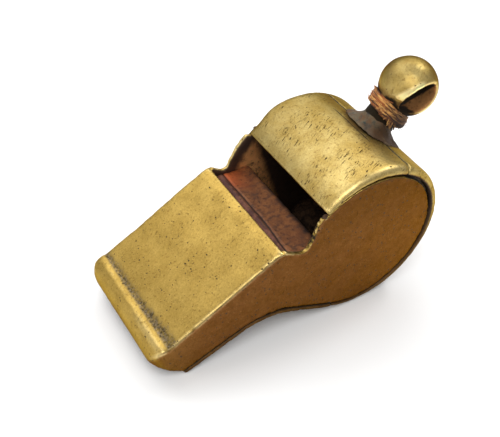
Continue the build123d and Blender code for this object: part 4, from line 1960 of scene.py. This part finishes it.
@dataclass
class Winding:
    """Frayed twine wound on the loop's neck, fibre by fibre.

    Attributes:
        bottom: Height of the winding's lower edge over the drum's axis, along the loop.
        height: Height of the winding.
        slant: How much lower the winding sits on one side than in the middle.
        slant_turn: Where that side is, round the neck from its front.
        neck: Neck's radius.
        thickness: Thickness of the winding.
        fibres: Fibres in the winding.
        fibre: Radius of one fibre.
        fibre_sizes: Least and greatest share of that radius.
        turns: Least and most turns of one fibre.
        pitch: Rise of a fibre in one turn.
        rises: Least and greatest share of that rise.
        waves: Least and most waves of a fibre round the neck.
        wave_height, wave_depth: Their swing up and down, and in and out.
        hairs: Loose hairs round the winding.
        hair: Radius of a hair, as a share of a fibre's.
        hair_radians, hair_lifts, hair_rises: Least and greatest sweep of a hair round the neck, lift off the
            winding and rise along it.
        hair_foot: Least height of a hair over the winding's lower edge.
        tuft_turn: Where the frayed end is, round the neck from its front.
        tuft: Fibres in the frayed end.
        tuft_fibre: Radius of one of them, as a share of a fibre's.
        tuft_radians, tuft_sweep_radians: Their least and greatest start from that place, and sweep.
        tuft_lengths, tuft_lifts: Their least and greatest length, and lift off the winding.
        tuft_top: Height over the winding's lower edge at which they start.
        tones: Steps between soiled and straw-coloured fibres.
        seed: Seed of the random numbers.
    """

    bottom: float = 14.55
    height: float = 2.0
    slant: float = 0.42
    slant_turn: float = 129.0
    neck: float = 2.3
    thickness: float = 0.8
    fibres: int = 210
    fibre: float = 0.072
    fibre_sizes: Span = (0.7, 1.35)
    turns: Span = (0.35, 1.0)
    pitch: float = 1.3
    rises: Span = (-0.6, 2.0)
    waves: Span = (2.0, 8.0)
    wave_height: float = 0.1
    wave_depth: float = 0.05
    hairs: int = 44
    hair: float = 0.45
    hair_radians: Span = (0.25, 0.5)
    hair_lifts: Span = (0.1, 0.35)
    hair_rises: Span = (-0.5, 0.5)
    hair_foot: float = 0.1
    tuft_turn: float = 66.0
    tuft: int = 22
    tuft_fibre: float = 0.9
    tuft_radians: Span = (-0.34, 0.2)
    tuft_sweep_radians: Span = (-0.1, 0.3)
    tuft_lengths: Span = (0.5, 1.25)
    tuft_lifts: Span = (0.0, 0.3)
    tuft_top: float = 0.55
    tones: int = 5
    seed: int = 7

    def place(self, layout: Layout, radius: float, angle: float, height: float) -> Vector:
        """Places one point of a fibre, outside the ball.

        Args:
            layout: Shared places.
            radius: Distance from the neck's axis.
            angle: Angle round it, in radians.
            height: Height over the drum's axis, before the slant.

        Returns:
            The point, upright, with the drum's axis at the origin.
        """
        level = height - self.slant * math.cos(angle - math.radians(self.slant_turn))
        ball = layout.ball_radius ** 2 - min(level - layout.ball_height, 0.0) ** 2
        radius = max(radius, math.sqrt(max(ball, 0.0)) + self.fibre)
        return Vector((radius * math.cos(angle), radius * math.sin(angle), level))

    def fibre_line(self, layout: Layout, rng: random.Random) -> List[Vector]:
        """Runs one fibre along the winding for a part of a turn.

        Args:
            layout: Shared places.
            rng: Random numbers.

        Returns:
            Points of the fibre.
        """
        start = rng.uniform(0, 2 * math.pi)
        turns = rng.uniform(*self.turns)
        depth = rng.random() ** 0.6
        rise = self.pitch * rng.uniform(*self.rises)
        first = rng.uniform(max(-rise * turns, 0.0), self.height - max(rise * turns, 0.0))
        phase = rng.uniform(0, 6.3)
        waves = rng.uniform(*self.waves)
        points = []
        for share in np.linspace(0, 1, 29).tolist():
            angle = start + 2 * math.pi * turns * share
            level = first + rise * turns * share + self.wave_height * math.sin(waves * angle + phase)
            barrel = max(1 - 0.5 * (2 * level / self.height - 1) ** 4, 0.2)
            radius = self.neck + self.thickness * depth * barrel
            radius += self.wave_depth * math.sin(1.7 * waves * angle)
            points.append(self.place(layout, radius, angle, self.bottom + level))
        return points

    def hair_line(self, layout: Layout, rng: random.Random) -> List[Vector]:
        """Runs one loose hair away from the winding.

        Args:
            layout: Shared places.
            rng: Random numbers.

        Returns:
            Points of the hair.
        """
        start = rng.uniform(0, 2 * math.pi)
        way = rng.choice((-1, 1)) * rng.uniform(*self.hair_radians)
        level = self.bottom + rng.uniform(self.hair_foot, self.height)
        lift = rng.uniform(*self.hair_lifts)
        rise = rng.uniform(*self.hair_rises)
        points = []
        for share in np.linspace(0, 1, 7).tolist():
            radius = self.neck + self.thickness * 0.9 + lift * share * share
            points.append(self.place(layout, radius, start + way * share, level + rise * share))
        return points

    def tuft_line(self, layout: Layout, rng: random.Random) -> List[Vector]:
        """Runs one fibre of the frayed end, which hangs over the solder foot.

        Args:
            layout: Shared places.
            rng: Random numbers.

        Returns:
            Points of the fibre.
        """
        start = math.radians(self.tuft_turn) + rng.uniform(*self.tuft_radians)
        length = rng.uniform(*self.tuft_lengths)
        spread = rng.uniform(*self.tuft_sweep_radians)
        lift = rng.uniform(*self.tuft_lifts)
        points = []
        for share in np.linspace(0, 1, 7).tolist():
            radius = self.neck + self.thickness * (0.85 - 0.2 * share) + lift * share
            level = self.bottom + self.tuft_top - length * share
            points.append(self.place(layout, radius, start + spread * share, level))
        return points

    def build(self, layout: Layout, material: Material) -> Piece:
        """Makes the winding in place of the plain one.

        Args:
            layout: Shared places.
            material: Finish.

        Returns:
            The piece.
        """
        rng = random.Random(self.seed)
        lines = [(self.fibre_line(layout, rng), self.fibre) for _ in range(self.fibres)]
        lines += [(self.tuft_line(layout, rng), self.fibre * self.tuft_fibre) for _ in range(self.tuft)]
        lines += [(self.hair_line(layout, rng), self.fibre * self.hair) for _ in range(self.hairs)]
        curve = bpy.data.curves.new("twine", "CURVE")
        curve.dimensions = "3D"
        curve.bevel_depth = MM
        curve.bevel_resolution = 1
        curve.use_fill_caps = True
        for _ in range(self.tones):
            curve.materials.append(material)
        up = layout.loop_direction
        side = Vector((0, -1, 0))
        turned = Matrix((side.cross(up), side, up)).transposed()
        middle = layout.axis + layout.lean * (layout.ball_height - self.bottom - self.height / 2)
        for points, radius in lines:
            spline = curve.splines.new("NURBS")
            spline.material_index = rng.randrange(self.tones)
            spline.points.add(len(points) - 1)
            own = radius * rng.uniform(*self.fibre_sizes)
            for at, point in zip(spline.points, points):
                at.co = (*((turned @ point + middle) * MM), 1.0)
                at.radius = own
            spline.order_u = 3
            spline.use_endpoint_u = True
            spline.resolution_u = 2
        mesh = evaluated(curve)
        tones = np.zeros(len(mesh.vertices))
        for face in mesh.polygons:
            tones[list(face.vertices)] = face.material_index / (self.tones - 1)
            face.material_index = 0
        write_points(mesh, "tone", tones)
        piece = stand("neck_twine_frayed", mesh, material)
        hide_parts("neck_twine")
        return piece


@dataclass
class LipSolder:
    """Two small blobs of solder where the lip meets the cheeks.

    Attributes:
        places: Radius and angle round the drum, and place across, of each blob.
        radius: A blob's radius.
        stretch: Its stretch along each axis.
        lump, lump_size: Height and size of its lumps.
    """

    places: Tuple[Triple, ...] = ((11.2, 136.0, -9.3), (11.1, 128.0, 9.1))
    radius: float = 0.34
    stretch: Triple = (1.15, 0.8, 0.9)
    lump: float = 0.12
    lump_size: float = 0.35

    def build(self, layout: Layout, material: Material) -> Piece:
        """Makes both blobs as one piece.

        Args:
            layout: Shared places.
            material: Finish.

        Returns:
            The piece.
        """
        bm = bmesh.new()
        for reach, turn, across in self.places:
            angle = math.radians(turn)
            middle = layout.axis + Vector((reach * math.cos(angle), across, reach * math.sin(angle)))
            made = bmesh.ops.create_icosphere(bm, subdivisions=4, radius=self.radius * MM)["verts"]
            bmesh.ops.scale(bm, vec=self.stretch, verts=made)
            bmesh.ops.translate(bm, vec=middle * MM, verts=made)
        for vert in bm.verts:
            vert.co += vert.normal * (self.lump * MM * noise.noise(vert.co / (self.lump_size * MM)))
        return stand("lip_solder", finished(bm, "lip_solder"), material)


@dataclass
class CorkPea:
    """Loose cork ball in the chamber, crumbly all over.

    Attributes:
        radius: Ball's radius.
        crumble: Depth of the missing crumbs.
        crumbs: Fineness and share of each size of crumb.
    """

    radius: float = 5.0
    crumble: float = 0.22
    crumbs: Tuple[Span, ...] = ((7.0, 1.0), (16.0, 0.6))

    def build(self, material: Material) -> Piece:
        """Makes the ball, a little inside its plain solid.

        Args:
            material: Finish.

        Returns:
            The piece.
        """
        low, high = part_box("cork_pea")
        bm = bmesh.new()
        bmesh.ops.create_icosphere(bm, subdivisions=6, radius=self.radius * MM)
        for vert in bm.verts:
            way = vert.co.normalized()
            lost = sum(share * max(0.0, noise.noise(way * fine)) for fine, share in self.crumbs)
            vert.co -= way * (lost * self.crumble * MM)
        bmesh.ops.translate(bm, verts=bm.verts, vec=(low + high) / 2)
        piece = stand("cork_pea_crumbly", finished(bm, "cork_pea_crumbly"), material)
        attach(piece, "pea")
        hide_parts("cork_pea")
        return piece


@dataclass(frozen=True)
class SoftBox:
    """Lamp that looks at the whistle.

    Attributes:
        name: Lamp's name.
        place: Where it hangs.
        size: Its width and height.
        level: Its brightness as seen in a mirror.
    """

    name: str
    place: Triple
    size: Span
    level: float

    def build(self) -> None:
        """Hangs the lamp."""
        data = bpy.data.lights.new(self.name, "AREA")
        data.shape = "ELLIPSE"
        data.size, data.size_y = (length * MM for length in self.size)
        data.energy = 4 * data.size * data.size_y * self.level
        lamp = bpy.data.objects.new(self.name, data)
        lamp.location = Vector(self.place) * MM
        lamp.rotation_euler = (-lamp.location).to_track_quat("-Z", "Y").to_euler()
        bpy.context.scene.collection.objects.link(lamp)


@dataclass
class Studio:
    """Pale floor, soft lights and the camera.

    Attributes:
        camera_place: Where the camera stands.
        camera_right, camera_up: Its sideways and upward directions.
        lens: Its focal length.
        floor_colour: Colour of the floor.
        floor_half: Half the floor's width.
        surroundings: Brightness of the even grey all round.
        lamps: Soft lights.
    """

    camera_place: Triple = (-53.184, -67.97, 90.23)
    camera_right: Triple = (0.849, -0.524, 0.077)
    camera_up: Triple = (0.308, 0.606, 0.734)
    lens: float = 61.2
    floor_colour: Colour = (0.93, 0.93, 0.925)
    floor_half: float = 1500.0
    surroundings: float = 0.40
    lamps: Tuple[SoftBox, ...] = (
        SoftBox("window", (70.0, 300.0, 340.0), (850.0, 360.0), 1.25),
        SoftBox("right", (262.0, 41.0, 300.0), (100.0, 100.0), 8.5),
        SoftBox("overhead", (-130.0, 125.0, 390.0), (180.0, 180.0), 1.2),
        SoftBox("front", (-105.0, -158.0, 294.0), (280.0, 240.0), 2.3),
        SoftBox("left", (-330.0, 60.0, 115.0), (420.0, 140.0), 1.0),
    )

    def build(self) -> None:
        """Sets the stage."""
        self._floor()
        for lamp in self.lamps:
            lamp.build()
        self._world()
        self._camera()
        bpy.context.scene.view_settings.view_transform = "Standard"

    def _floor(self) -> None:
        """Lays a wide plain floor at the whistle's foot."""
        bm = bmesh.new()
        bmesh.ops.create_grid(bm, x_segments=1, y_segments=1, size=self.floor_half * MM)
        floor = bpy.data.objects.new("floor", finished(bm, "floor"))
        bpy.context.scene.collection.objects.link(floor)
        g = Graph("pale_floor")
        g.set(Base_Color=self.floor_colour, Roughness=0.9, Specular_IOR_Level=0.1)
        floor.data.materials.append(g.material)

    def _world(self) -> None:
        """Makes the even grey surroundings."""
        world = bpy.data.worlds.new("surroundings")
        world.use_nodes = True
        background = world.node_tree.nodes["Background"]
        background.inputs["Strength"].default_value = self.surroundings
        background.inputs["Color"].default_value = (1.0, 1.0, 1.0, 1.0)
        bpy.context.scene.world = world

    def _camera(self) -> None:
        """Sets the camera up at the photograph's angle."""
        right = Vector(self.camera_right).normalized()
        back = right.cross(Vector(self.camera_up)).normalized()
        data = bpy.data.cameras.new("camera")
        data.lens = self.lens
        data.clip_start = 10 * MM
        camera = bpy.data.objects.new("camera", data)
        turn = Matrix((right, back.cross(right), back)).transposed().to_4x4()
        camera.matrix_world = Matrix.Translation(Vector(self.camera_place) * MM) @ turn
        bpy.context.scene.collection.objects.link(camera)
        bpy.context.scene.camera = camera


def main() -> None:
    """Builds the dressed whistle and its studio."""
    logging.basicConfig(level=logging.INFO, format="%(message)s")
    layout = Layout.read()
    brass = AgedBrass()
    strip = TarnishedStrip().material(layout)
    solder = DullSolder().material()
    drum_brass = brass.material(Zone.DRUM, layout)
    MouthpieceShell("mouthpiece_shell").build(layout, brass.material(Zone.SHELL, layout))
    WornPiece("mouthpiece_bottom_plate").build(layout, brass.material(Zone.PLATE, layout))
    for stretch in ("lip", "back"):
        DrumBand(f"barrel_{stretch}_band", nick_depth=0.1, dirt_reach=0.3).build(layout, drum_brass)
    AirwayStrip("airway_floor", "inner_brass", dirt_reach=0.2).build(layout, strip)
    for side in ("near", "far"):
        run = WornPiece(
            f"{side}_cheek_solder", "solder", spacing=0.12, softenings=3, dent_depth=0.1, dent_size=0.8
        )
        run.build(layout, solder)
    LipSolder().build(layout, solder)
    BoredBall("lanyard_loop", "loop_brass", spacing=0.13).build(layout, brass.material(Zone.LOOP, layout))
    foot = SolderFoot("loop_solder", "solder", spacing=0.1, dent_depth=0.16, dent_size=1.1, dirt_reach=0.12)
    foot.build(layout, solder)
    Winding().build(layout, TwineFibre().material())
    CorkPea().build(DarkCork().material())
    Studio().build()


if __name__ == "__main__":
    main()
